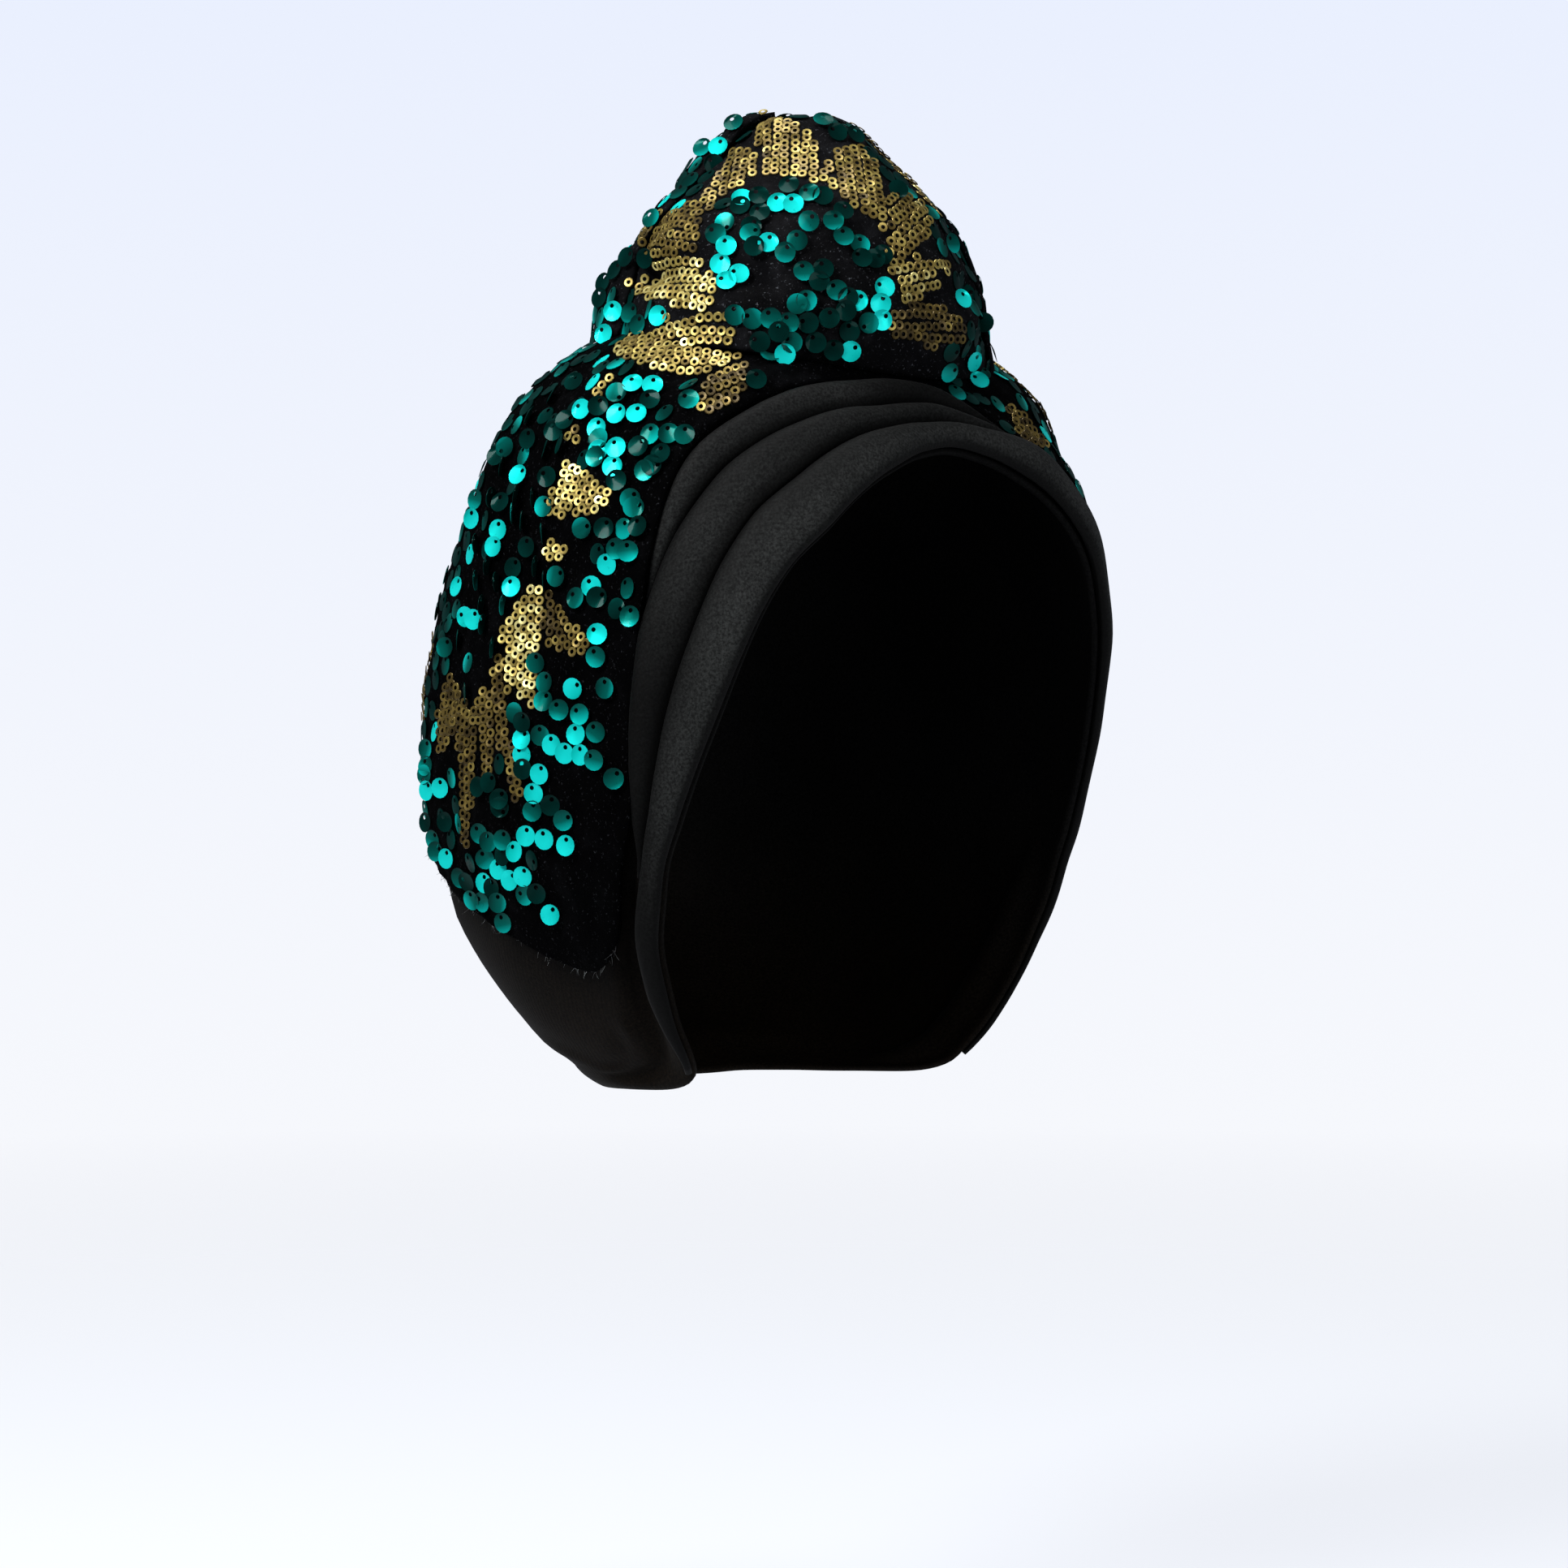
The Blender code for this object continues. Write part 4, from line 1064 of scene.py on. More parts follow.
# The teal sequins that the photograph shows, with their tones from 0, dark, to 2
# Their tones are painted reflections: bright where a sequin mirrors a lamp, dark where it mirrors the dim
# surround
TEAL_SEEN = {
    # x, y, tone
    "knot": (
        (706, 388, 2), (700, 412, 0), (770, 378, 0), (775, 445, 0), (838, 405, 2), (893, 410, 2),
        (955, 370, 1), (948, 470, 1), (880, 345, 0), (1000, 378, 0), (1036, 468, 1), (1072, 430, 0),
        (1070, 525, 1), (1130, 550, 1), (1140, 605, 0), (1185, 605, 0), (1215, 590, 0), (645, 475, 1),
        (612, 515, 1), (738, 515, 1), (740, 490, 0), (802, 545, 2), (752, 562, 0), (653, 560, 2),
        (630, 620, 2), (692, 665, 2), (648, 692, 2), (905, 540, 1), (862, 580, 1), (930, 648, 1),
        (1002, 640, 0), (985, 685, 0), (1050, 720, 1), (1088, 745, 0), (1124, 757, 2), (1080, 792, 0),
        (940, 755, 1), (906, 768, 1), (1022, 820, 0), (1222, 706, 2), (1206, 765, 2), (1207, 825, 2),
        (1160, 838, 1), (680, 805, 1), (742, 820, 1), (810, 818, 1), (875, 838, 1), (840, 872, 0),
        (885, 905, 1), (860, 945, 2), (805, 965, 1), (770, 905, 0), (970, 905, 0), (1035, 930, 0),
        (1095, 932, 2), (945, 838, 0), (750, 1060, 0), (1508, 755, 2), (1545, 972, 2), (1568, 1063, 2),
        (1458, 548, 1), (240, 795, 2), (300, 800, 1), (405, 810, 2), (330, 842, 1), (262, 850, 2),
        (205, 880, 2), (228, 885, 1), (130, 900, 2), (305, 1070, 2), (250, 1105, 1), (375, 1075, 2),
        (370, 1132, 0), (120, 1160, 2), (180, 1150, 0), (318, 1180, 2), (250, 1180, 2), (512, 1128, 1),
        (90, 1062, 0), (182, 1235, 2), (185, 1268, 1), (375, 1255, 1), (437, 1250, 1), (495, 1255, 1),
        (250, 1305, 2), (185, 1310, 2), (330, 1300, 0), (290, 600, 0), (245, 645, 0), (205, 692, 0),
        (190, 745, 0), (360, 592, 0), (380, 458, 1), (430, 368, 0), (568, 200, 1), (622, 195, 2),
        (715, 120, 0), (680, 106, 1), (620, 130, 0), (1000, 102, 1), (1050, 140, 0), (1112, 152, 0),
        (590, 250, 0), (1270, 355, 0),
    ),
    "side": (
        (795, 30, 1), (855, 8, 2), (905, 50, 0), (660, 85, 2), (720, 60, 0), (790, 95, 2), (858, 92, 2),
        (1060, 45, 1), (722, 150, 2), (715, 188, 0), (912, 178, 1), (975, 168, 1), (1035, 178, 1),
        (870, 225, 0), (950, 245, 0), (718, 257, 1), (790, 235, 2), (775, 292, 2), (895, 305, 1),
        (920, 285, 0), (790, 342, 0), (838, 408, 1), (850, 440, 1), (435, 325, 2), (370, 425, 0),
        (345, 250, 0), (275, 410, 1), (262, 482, 2), (355, 520, 2), (343, 582, 2), (205, 732, 2),
        (405, 732, 2), (570, 690, 1), (412, 660, 0), (465, 585, 0), (668, 515, 1), (745, 515, 0),
        (790, 592, 1), (832, 600, 1), (755, 647, 2), (702, 730, 2), (645, 775, 1), (718, 770, 0),
        (718, 905, 2), (718, 988, 1), (235, 840, 2), (265, 852, 2), (165, 955, 1), (845, 842, 1),
        (628, 1105, 2), (750, 1102, 1), (415, 1195, 1), (580, 1182, 1), (662, 1200, 1), (525, 1085, 1),
        (522, 1150, 1), (497, 1010, 1), (442, 1292, 2), (442, 1348, 2), (510, 1275, 1), (552, 1312, 2),
        (645, 1275, 2), (602, 1345, 2), (660, 1350, 2), (715, 1268, 1), (710, 1368, 1), (510, 1418, 2),
        (450, 1400, 0), (782, 1437, 1), (95, 1330, 1), (90, 1392, 1), (522, 435, 1), (535, 325, 0),
        (450, 1230, 0), (385, 220, 1), (470, 190, 0), (560, 160, 0), (600, 120, 0), (520, 330, 0),
        (870, 510, 0),
    ),
    "low": (
        (505, 215, 2), (485, 290, 2), (485, 357, 1), (545, 335, 0), (595, 390, 1), (530, 460, 2),
        (460, 450, 2), (605, 482, 2), (420, 505, 2), (360, 570, 2), (305, 620, 2), (398, 610, 2),
        (447, 595, 2), (455, 665, 1), (500, 655, 0), (548, 737, 2), (290, 435, 1), (320, 465, 1),
        (378, 462, 1), (262, 682, 1), (295, 690, 1), (360, 690, 1), (375, 765, 1), (215, 600, 1),
        (240, 615, 0), (170, 530, 2), (115, 460, 1), (140, 270, 2), (95, 282, 2), (90, 222, 1), (60, 160, 1),
        (325, 250, 0), (358, 312, 0), (455, 200, 0), (340, 300, 0), (130, 500, 1), (165, 395, 0),
        (90, 400, 0), (305, 530, 1), (375, 520, 0), (330, 640, 0), (285, 270, 0), (360, 340, 0),
    ),
}


TWIN = np.array([-1.0, 1.0, 1.0])


def outline_on(tree, pixels):
    """An outline of seen places as points on the surface."""
    found = [seen_on(tree, x, y)[0] for x, y in pixels]
    return [point for point in found if point is not None]


def cast_twin(tree, points, turned):
    """The same outline elsewhere: mirrored, or turned about the upright axis."""
    cast = []
    for point in points:
        way = point - HEAD_MIDDLE
        if turned is None:
            way = way * TWIN
        else:
            c, s = math.cos(math.radians(turned)), math.sin(math.radians(turned))
            way = np.array([c * way[0] - s * way[1], s * way[0] + c * way[1], way[2]])
        way = unit(way)
        hit = tree.ray_cast(Vector(HEAD_MIDDLE + way * 0.3), Vector(-way))
        if hit[0] is not None:
            cast.append(np.array(hit[0]))
    return cast


# Where each petal is laid: as seen, mirrored, and turned to the back in degrees
PETAL_TURNS = (("gold_sequins_seen_side", 0), ("gold_sequins_far_side", None), ("gold_sequins_far_side", 150))


def gold_sequins(tree, finish):
    """The flower's rings on both sides and the back. Returns all their places."""
    random = np.random.default_rng(GOLD_SEED)
    groups = {"gold_sequins_seen_side": [], "gold_sequins_far_side": []}
    for view, tone, start, end, places in GOLD_PETALS:
        seen = [outline_on(tree, photo_places(view, pixels)) for pixels in (places, (start, end))]
        for name, turned in PETAL_TURNS:
            shape, line = seen if turned == 0 else [cast_twin(tree, points, turned) for points in seen]
            if len(shape) < 3 or len(line) < 2:
                continue
            for place, up, along in petal_places(tree, np.array(shape), *line, random):
                if turned == 0 or unit(camera_place() - place) @ up < FAR_FACING:
                    groups[name].append((place, up, along, tone))
    placed = np.zeros((0, 3))
    for name, found in groups.items():
        found = clear_of(found, GOLD_CLEAR, placed)
        places, ups, ways = (np.array([row[index] for row in found]) for index in range(3))
        # Each petal's tone is painted light and shade, with a random spread
        tones = np.array([row[3] for row in found]) + random.normal(0, GOLD_SPREAD, len(found))
        if name == "gold_sequins_seen_side":
            ups = towards_camera(places, ups, GOLD_TURN)
        ups = tilted(unit(ups - GOLD_HANG * ways), random, GOLD_LEAN)
        places = places + ups * (GOLD_LIFT + random.uniform(0, GOLD_LIFT, len(found)))[:, None]
        tones = np.clip(tones, 0, 1)
        sequin_piece(
            name, gold_template(), places, ups, ways, tones, GOLD_PAINTED_SHADING, random, finish
        )
        placed = np.concatenate([placed, places])
    return placed


NEIGHBOURS = tuple(itertools.product((-1, 0, 1), repeat=3))


def cell_at(point, size):
    return tuple(np.floor(point / size).astype(int))


def cells_of(points, size):
    """Points sorted into cells of a size, so that near ones are quickly found."""
    cells = {}
    for point in points:
        cells.setdefault(cell_at(point, size), []).append(point)
    return cells


def is_near(cells, size, point, least):
    """Whether a point is nearer than a least distance to any that are in cells."""
    x, y, z = cell_at(point, size)
    others = [other for dx, dy, dz in NEIGHBOURS for other in cells.get((x + dx, y + dy, z + dz), ())]
    return any(np.sum((other - point) ** 2) < least**2 for other in others)


def clear_of(found, least, taken):
    """The rows whose places keep a least distance from those before them."""
    cells, kept = cells_of(taken, least), []
    for row in found:
        if not is_near(cells, least, row[0], least):
            kept.append(row)
            cells.setdefault(cell_at(row[0], least), []).append(row[0])
    return kept


def scattered(objects, count, random):
    """Places and normals spread evenly over the outer faces of some pieces."""
    places, normals = [], []
    for made in objects:
        mesh = made.data
        mesh.calc_loop_triangles()
        points = np.zeros(len(mesh.vertices) * 3, np.float32)
        mesh.vertices.foreach_get("co", points)
        corners = np.zeros(len(mesh.loop_triangles) * 3, np.int32)
        mesh.loop_triangles.foreach_get("vertices", corners)
        a, b, c = points.reshape(-1, 3).astype(float)[corners.reshape(-1, 3).T]
        cross = np.cross(b - a, c - a)
        area = np.linalg.norm(cross, axis=1) / 2
        pick = random.choice(len(area), count, p=area / area.sum())
        u, v = random.random((2, count, 1))
        u, v = np.where(u + v > 1, 1 - u, u), np.where(u + v > 1, 1 - v, v)
        places.append(a[pick] + u * (b[pick] - a[pick]) + v * (c[pick] - a[pick]))
        normals.append(unit(cross[pick]))
    return np.concatenate(places), np.concatenate(normals)


# Loose thread ends of the velvet's rough-cut hem, along its stretch below a height
HEM_THREADS = 420
THREAD_LENGTH = (0.0008, 0.0028)
THREAD_RADIUS = 0.00007
HEM_POINTS = 900
HEM_HEIGHT = -0.12


def hem_threads(edge, finish):
    """Short curled strands along the hem, each a thin three-sided tube."""
    random = np.random.default_rng(THREAD_SEED)
    angle = np.arange(3) * 2 * math.pi / 3
    steps = np.linspace(0, 1, 5)
    points, faces = [], []
    for index in random.integers(0, len(edge) - 1, HEM_THREADS):
        gap = edge[index + 1] - edge[index]
        if np.linalg.norm(gap) > 0.01 or abs(gap[2]) > 0.75 * np.linalg.norm(gap):
            continue
        root = edge[index] + gap * random.random()
        out = unit(root - HEAD_MIDDLE)
        way = unit(np.array([0, 0, -1.0]) + 0.75 * random.normal(size=3) + 0.25 * out)
        bend = unit(np.cross(way, random.normal(size=3)))
        length = random.uniform(*THREAD_LENGTH)
        line = root - out * 0.0004 + way * (steps * length)[:, None]
        line = line + bend * (0.35 * length * steps**2)[:, None]
        lean = unit(np.cross(way, bend))
        ring = np.cos(angle)[:, None] * bend + np.sin(angle)[:, None] * lean
        tube = line[:, None] + ring[None] * THREAD_RADIUS * (1 - 0.6 * steps)[:, None, None]
        faces.append(grid_faces(len(steps), 3, True) + 3 * len(steps) * len(points))
        points.append(tube.reshape(-1, 3))
    return small_pieces("hem_threads", np.concatenate(points), np.concatenate(faces), finish)


def is_open(tree, place, normal):
    """Whether nothing covers a place, seen straight out from it."""
    return tree.ray_cast(Vector(place + normal * 0.0008), Vector(normal), 0.05)[0] is None


# Stretches of the seen side where more sequins lie close together, with the
# brightest tone there, which is painted shade and painted reflection, and how far they stand on edge, in
# degrees
CROWDED = (
    # x, y, x_size, y_size, brightest, on_edge
    (640, 700, 50, 125, 0.55, 50), (560, 790, 26, 90, 0.50, 30), (600, 1080, 68, 56, 0.85, 10),
    (545, 1000, 34, 70, 0.80, 8), (640, 930, 40, 60, 0.60, 10), (640, 530, 64, 60, 0.60, 38),
    (730, 560, 60, 60, 0.80, 12), (790, 545, 50, 50, 0.75, 6), (755, 680, 36, 80, 0.65, 8),
    (820, 250, 46, 44, 0.40, 20), (760, 400, 46, 60, 0.60, 16), (1030, 390, 50, 50, 0.45, 6),
    (1192, 440, 26, 80, 0.55, 12),
)
TEAL_DARTS = 12000
TEAL_APART = 0.0046
TEAL_OFF_HEM = 0.012
TEAL_OFF_GOLD = 0.0030
TEAL_TONES = (0.0, 0.5, 1.0)
TEAL_ODDS = (0.68, 0.24, 0.08)
GOLD_CELL = 0.004


def photo_pixel(point):
    """The pixel of the photograph at which the camera sees a point."""
    ahead, right = camera_axes()
    off = point - camera_place()
    depth = off @ ahead
    return PHOTO_AXIS[0] + PHOTO_SCALE * (off @ right) / depth, PHOTO_AXIS[1] - PHOTO_SCALE * off[2] / depth


def crowd_at(point):
    """The brightest tone and the lean of a crowded stretch, if a point is in one."""
    x, y = photo_pixel(point)
    for middle_x, middle_y, wide, high, brightest, on_edge in CROWDED:
        if ((x - middle_x) / wide) ** 2 + ((y - middle_y) / high) ** 2 < 1:
            return brightest, on_edge
    return None


def seen_teal(tree):
    """Places, normals and tones of the sequins that the photograph shows."""
    found, pixels = [], []
    for view, rows in TEAL_SEEN.items():
        for (x, y), tone in zip(photo_places(view, [row[:2] for row in rows]), [row[2] for row in rows]):
            if any((x - a) ** 2 + (y - b) ** 2 < READ_TWICE**2 for a, b in pixels):
                continue
            place, normal = seen_on(tree, x, y)
            if place is not None:
                pixels.append((x, y))
                found.append((place, normal, tone / 2, 0))
    return found


def towards_camera(places, normals, share):
    """Normals leant a share of the way towards the viewer, as hanging sequins face."""
    return unit(normals * (1 - share) + unit(camera_place() - places) * share)


def teal_sequins(tree, carriers, gold_places, hem, finish):
    """The seen sequins at their places, and more spread over what is left bare."""
    random = np.random.default_rng(TEAL_SEED)
    seen = seen_teal(tree)
    taken = np.array([row[0] for row in seen])
    camera = camera_place()
    spread, crowd = [], []
    gold_cells, hem_cells = cells_of(gold_places, GOLD_CELL), cells_of(hem, TEAL_OFF_HEM)
    for place, normal in zip(*scattered(carriers, TEAL_DARTS, random)):
        if (place - HEAD_MIDDLE) @ normal < 0 or is_near(hem_cells, TEAL_OFF_HEM, place, TEAL_OFF_HEM):
            continue
        if is_near(gold_cells, GOLD_CELL, place, TEAL_OFF_GOLD) or not is_open(tree, place, normal):
            continue
        facing = unit(camera - place) @ normal
        crowded = crowd_at(place) if facing > CROWD_FACING else None
        tone = random.choice(TEAL_TONES, p=TEAL_ODDS)
        if crowded:
            brightest, on_edge = crowded
            lean = on_edge if facing > EDGE_FACING else 0
            # The stretch's brightest tone caps each sequin's tone there: painted shade
            crowd.append((place, normal, brightest * min(1, tone + 0.25), lean))
        elif facing < SPREAD_FACING:
            spread.append((place, normal, tone, 0))
    crowd = clear_of(crowd, TEAL_APART, taken)
    extra = crowd + clear_of(spread, TEAL_APART, np.concatenate([taken, [row[0] for row in crowd]]))
    kinds = (
        # name, rows, most lean, least lift, more lift, rings of each sequin
        ("teal_sequins_seen_side", seen, 12, 0.0009, 0.0008, 3),
        ("teal_sequins_far_side", extra, 7, 0.0002, 0.0004, 2),
    )
    upright = np.array([0, 0, 1.0])
    for name, rows, most, least_lift, more_lift, rings in kinds:
        place, normal = (np.array([row[index] for row in rows]) for index in range(2))
        edge_on = np.radians([row[3] for row in rows])[:, None]
        tones = np.clip(np.array([row[2] for row in rows]) + random.normal(0, 0.05, len(rows)), 0, 1)
        leant = towards_camera(place, normal, TEAL_TURN) if rings == 3 else normal
        aside = unit(np.cross(normal, upright))
        ups = tilted(unit(leant + aside * np.tan(edge_on)), random, most)
        ways = unit(np.cross(np.cross(ups, random.normal(0, 0.6, (len(rows), 3)) + upright), ups))
        lift = least_lift + random.uniform(0, more_lift, len(rows))[:, None]
        place = place + normal * (lift + TEAL_RADIUS * 0.6 * np.sin(edge_on))
        sequin_piece(
            name, teal_template(rings), place, ups, ways, tones, TEAL_PAINTED_SHADING, random, finish
        )


class Nodes:
    """The nodes of a material or of the surround, with short ways to add and join them."""

    def __init__(self, owner, shader="Principled BSDF", coordinates="Object"):
        owner.use_nodes = True
        self.owner = owner
        self.tree = owner.node_tree
        self.shader = self.tree.nodes[shader]
        self.place = self.add("TexCoord").outputs[coordinates]

    def put(self, node, name, value):
        """Sets a socket, or joins it where the value is another node's output."""
        if isinstance(value, bpy.types.NodeSocket):
            self.tree.links.new(value, node.inputs[name])
        else:
            node.inputs[name].default_value = value

    def put_all(self, node, values):
        for name, value in values.items():
            self.put(node, name.replace("_", " "), value)
        return node

    def add(self, kind, **values):
        return self.put_all(self.tree.nodes.new("ShaderNode" + kind), values)

    def surface(self, **values):
        """Sets or joins the shader's own sockets, and returns the finished material."""
        self.put_all(self.shader, values)
        return self.owner

    def noise(self, **values):
        return self.add("TexNoise", Vector=self.place, **values).outputs["Fac"]

    def attribute(self, name):
        made = self.add("Attribute")
        made.attribute_name = name
        return made.outputs["Fac"]

    def ranged(self, value, **ends):
        return self.add("MapRange", Value=value, **ends).outputs["Result"]

    def mixed(self, kind, a, b, factor=1.0):
        made = self.add("Mix")
        made.data_type = "RGBA"
        made.blend_type = kind
        self.put_all(made, {"Factor": factor, "A": a, "B": b})
        return made.outputs["Result"]

    def ramp(self, factor, stops):
        """A colour, or a grey given as one number, for each place along a ramp."""
        made = self.add("ValToRGB", Fac=factor)
        elements = made.color_ramp.elements
        while len(elements) < len(stops):
            elements.new(0.5)
        for element, (place, colour) in zip(elements, stops):
            element.position = place
            element.color = (*(colour if isinstance(colour, tuple) else (colour,) * 3), 1)
        return made.outputs["Color"]

    def bump(self, height, strength, distance):
        made = self.add("Bump", Height=height, Strength=strength, Distance=distance)
        self.put(self.shader, "Normal", made.outputs["Normal"])


def new_finish(name):
    return Nodes(bpy.data.materials.new(name))


def knit_finish(name, colour, low_colour, gloss, sheen, with_painted_shade):
    """Fine knit, of another colour low down, with painted light and shade along the folds where asked."""
    made = new_finish(name)
    grain = made.noise(Scale=1500.0, Detail=3.0, Roughness=0.7)
    cloud = made.noise(Scale=28.0, Detail=3.0)
    rib = made.add("TexWave", Vector=made.place, Scale=360.0, Distortion=2.5, Detail=2.0, Detail_Scale=3.0)
    rib.bands_direction = "DIAGONAL"
    height = made.add("SeparateXYZ", Vector=made.place).outputs["Z"]
    rise = made.ranged(height, From_Min=-0.190, From_Max=-0.120)
    base = made.mixed("MIX", (*low_colour, 1), (*colour, 1), rise)
    base = made.mixed("MULTIPLY", base, made.ramp(cloud, ((0.3, 0.72), (0.7, 1.25))))
    base = made.mixed("MULTIPLY", base, made.ramp(grain, ((0.38, 0.45), (0.68, 2.0))))
    if with_painted_shade:
        # Painted shade in the fold valleys and painted light near the face edges, from each point's painted
        # share
        painted_light_and_shade = made.ramp(made.attribute("depth"), ((0.30, 0.10), (0.70, 0.60), (0.95, 1.6)))
        base = made.mixed("MULTIPLY", base, painted_light_and_shade)
    relief = made.add("Math")
    relief.operation = "MULTIPLY_ADD"
    for index, value in enumerate((rib.outputs["Fac"], 0.55, grain)):
        made.put(relief, index, value)
    made.bump(relief.outputs["Value"], 0.35, 0.00012)
    return made.surface(
        Base_Color=base, Roughness=0.66, Specular_IOR_Level=gloss, Sheen_Weight=sheen, Sheen_Roughness=0.45
    )


def velvet_finish(name, paleness):
    """Crushed pile with pale flecks."""
    made = new_finish(name)

    def pale(*colour):
        return tuple(paleness * part for part in colour)

    pile = made.noise(Scale=900.0, Detail=3.0, Roughness=0.75)
    crush = made.noise(Scale=90.0, Detail=4.0, Roughness=0.6)
    flecks = made.noise(Scale=1150.0, Detail=2.5, Roughness=0.7)
    pile_tones = (
        (0.30, pale(0.0002, 0.0002, 0.0003)),
        (0.55, pale(0.0008, 0.0008, 0.0010)),
        (0.80, pale(0.0035, 0.0036, 0.0042)),
    )
    specks = made.ramp(flecks, ((0.62, 0.0), (0.78, pale(0.030, 0.032, 0.036))))
    made.bump(pile, 0.7, 0.0004)
    return made.surface(
        Base_Color=made.mixed("ADD", made.ramp(crush, pile_tones), specks),
        Roughness=0.8,
        Specular_IOR_Level=0.013 * paleness,
        Sheen_Weight=0.0018 * paleness,
        Sheen_Roughness=0.35,
    )


def sequin_finish(name, stops, metallic, roughness, gloss, coat):
    """Lightly scratched film, coloured by each sequin's tone, which carries painted reflections and painted
    shading.
    """
    made = new_finish(name)
    scratch = made.noise(Scale=700.0, Detail=2.0)
    made.bump(scratch, 0.12, 0.0001)
    return made.surface(
        Base_Color=made.ramp(made.attribute("tone"), stops),
        Roughness=made.ranged(scratch, To_Min=roughness * 0.7, To_Max=roughness * 1.4),
        Metallic=metallic,
        Specular_IOR_Level=gloss,
        Coat_Weight=coat,
        Coat_Roughness=0.08,
    )


def thread_finish(name):
    made = new_finish(name)
    change = made.noise(Scale=300.0, Detail=1.0)
    tone = made.ramp(change, ((0.45, (0.006, 0.006, 0.007)), (0.62, (0.09, 0.10, 0.10))))
    return made.surface(Base_Color=tone, Roughness=0.6)


def floor_finish():
    """Pale and lit from within a little, fading out towards the floor's edge."""
    made = new_finish("pale_floor")
    length = made.add("VectorMath")
    length.operation = "LENGTH"
    made.put(length, 0, made.place)
    near, far = 0.35 * FLOOR_REACH, 0.98 * FLOOR_REACH
    return made.surface(
        Base_Color=(0.20, 0.21, 0.22, 1),
        Roughness=0.9,
        Specular_IOR_Level=0.0,
        Emission_Color=(0.90, 0.92, 0.98, 1),
        Emission_Strength=0.78,
        Alpha=made.ranged(length.outputs["Value"], From_Min=near, From_Max=far, To_Min=1.0, To_Max=0.0),
    )


FLOOR_HEIGHT = -0.36
FLOOR_REACH = 1.7
LIGHT_AIM = np.array([0, 0, -0.08])
LIGHTS = (
    # name, right, towards the camera, up, size, watts
    ("key_light", -0.80, 0.80, 0.70, 0.45, 24.0),
    ("fill_light", 0.90, 1.00, 0.25, 0.7, 7.2),
    ("top_light", -0.1, 0.05, 1.2, 0.6, 13.0),
)
SKY_STOPS = ((0.00, (0.955, 0.960, 0.975)), (0.45, (0.905, 0.925, 0.980)), (1.00, (0.815, 0.865, 0.995)))


def surround():
    """A pale sky for the camera, and a dimmer one that lights the cloth."""
    world = bpy.data.worlds.new("surround")
    sky = Nodes(world, "Background", "Generated")
    sky.surface(Color=(0.80, 0.86, 1.0, 1), Strength=0.16)
    height = sky.add("SeparateXYZ", Vector=sky.place).outputs["Z"]
    rise = sky.ranged(height, From_Min=-0.22, From_Max=0.22)
    seen = sky.add("Background", Color=sky.ramp(rise, SKY_STOPS), Strength=1.0)
    mix = sky.add("MixShader")
    shades = sky.add("LightPath").outputs["Is Camera Ray"], sky.shader.outputs[0], seen.outputs[0]
    for index, value in enumerate(shades):
        sky.put(mix, index, value)
    sky.put(sky.tree.nodes["World Output"], "Surface", mix.outputs[0])
    return world


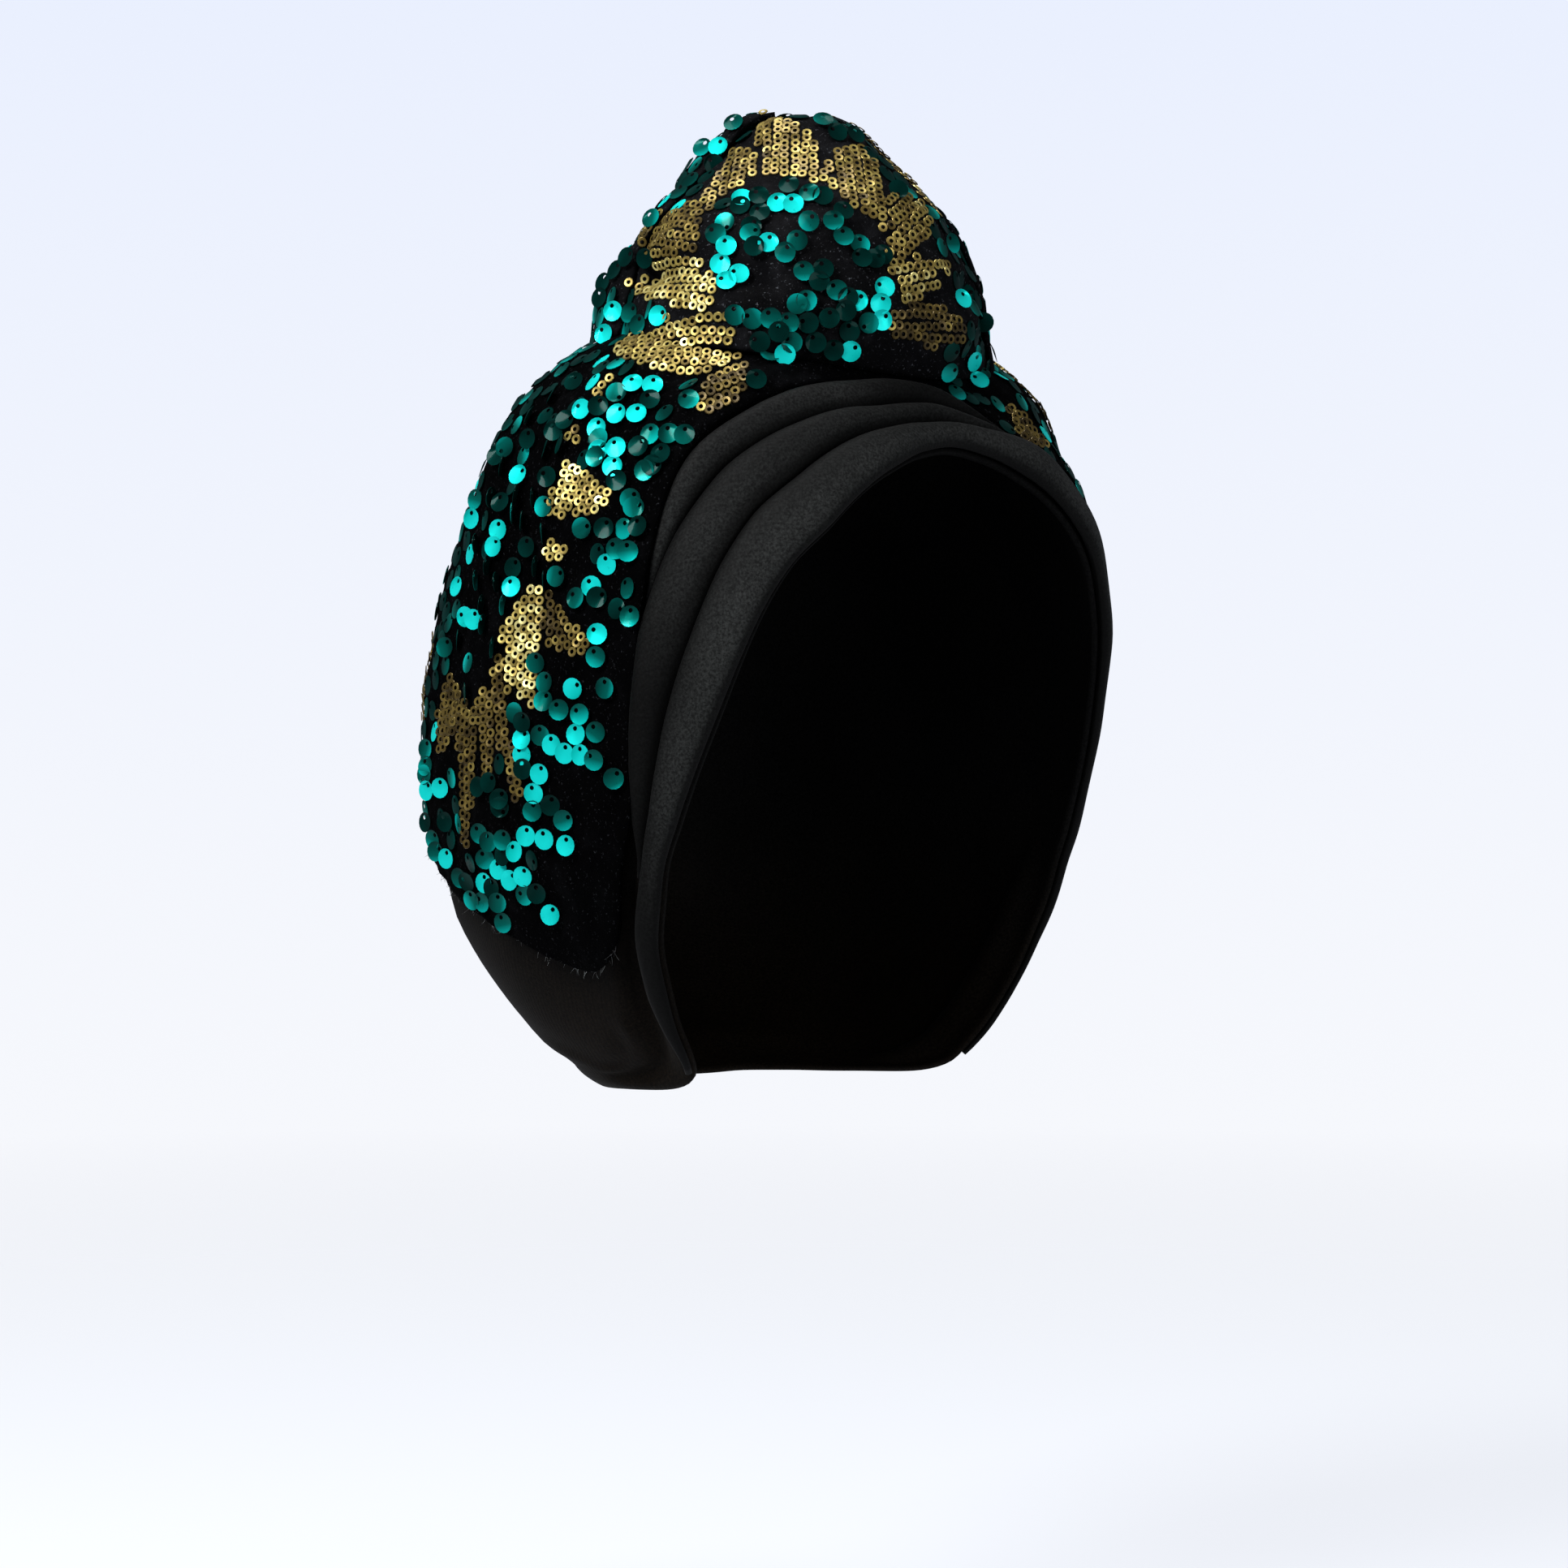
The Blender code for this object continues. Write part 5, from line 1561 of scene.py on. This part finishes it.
def studio():
    """Camera, pale floor, soft lights and a pale surround."""
    scene = bpy.context.scene
    lens = bpy.data.cameras.new("camera")
    camera = add_object("camera", lens)
    camera.location = camera_place()
    camera.rotation_euler = (math.radians(90), 0, CAMERA_BEARING)
    lens.sensor_width = SENSOR
    lens.lens = SENSOR * PHOTO_SCALE / PHOTO_SIZE
    lens.shift_x = (PHOTO_SIZE / 2 - PHOTO_AXIS[0]) / PHOTO_SIZE
    lens.clip_start = 0.01
    scene.camera = camera
    mesh = bpy.data.meshes.new("floor")
    reach, z = FLOOR_REACH, FLOOR_HEIGHT
    corners = [(-reach, -reach, z), (reach, -reach, z), (reach, reach, z), (-reach, reach, z)]
    mesh.from_pydata(corners, [], [(0, 1, 2, 3)])
    mesh.materials.append(floor_finish())
    add_object("floor", mesh)
    scene.world = surround()
    ahead, right = camera_axes()
    for name, aside, near, up, size, watts in LIGHTS:
        light = bpy.data.lights.new(name, "AREA")
        light.size = size
        light.energy = watts
        lamp = add_object(name, light)
        place = right * aside - ahead * near + np.array([0, 0, up])
        lamp.location = place
        lamp.rotation_euler = Vector(LIGHT_AIM - place).to_track_quat("-Z", "Y").to_euler()
    scene.view_settings.view_transform = "Standard"


# Teal tones: the dark stops are painted shade, the bright stops painted reflections of the lamps
TEAL_STOPS = (
    (0.00, (0.0004, 0.012, 0.010)),
    (0.30, (0.0006, 0.024, 0.020)),
    (0.55, (0.0008, 0.080, 0.066)),
    (0.80, (0.0020, 0.400, 0.360)),
    (1.00, (0.0060, 0.560, 0.520)),
)
# Gold tones: the dark stops are painted shade, the bright stops painted highlights
GOLD_STOPS = (
    (0.00, (0.040, 0.026, 0.006)),
    (0.35, (0.150, 0.104, 0.022)),
    (0.65, (0.345, 0.266, 0.067)),
    (1.00, (0.820, 0.740, 0.310)),
)


def main():
    knit = knit_finish("cap_knit", (0.0015, 0.0015, 0.0015), (0.0026, 0.0018, 0.0011), 0.02, 0.003, False)
    # The band's knit carries the folds' painted light and shade
    band = knit_finish("band_knit", (0.0066, 0.0070, 0.0068), (0.0022, 0.0022, 0.0022), 0.05, 0.008, True)
    # One velvet in two copies: the overlay's is darker, painted shade, and the knot's four times paler,
    # painted light
    velvet = velvet_finish("sequin_velvet", 0.6)
    knot_velvet = velvet_finish("knot_velvet", 2.4)
    teal = sequin_finish("sequin_teal", TEAL_STOPS, 0.30, 0.30, 0.0, 0.05)
    gold = sequin_finish("sequin_gold", GOLD_STOPS, 0.60, 0.34, 0.4, 0.0)
    cap = inner_cap(knit)
    folds = [fold(name, order, band) for order, name in enumerate(FOLD_SPANS)]
    overlay = velvet_overlay(velvet)
    dome = knot_front(knot_velvet)
    lobe = knot_back(knot_velvet)
    hem = velvet_grid(np.zeros(1), HEM_POINTS, [])[0]
    low_hem = hem[hem[:, 2] < HEM_HEIGHT]
    threads = hem_threads(low_hem, thread_finish("hem_thread"))
    carriers = [overlay, dome, lobe]
    tree = bvh_of(carriers)
    teal_sequins(tree, carriers, gold_sequins(tree, gold), low_hem, teal)
    studio()


main()
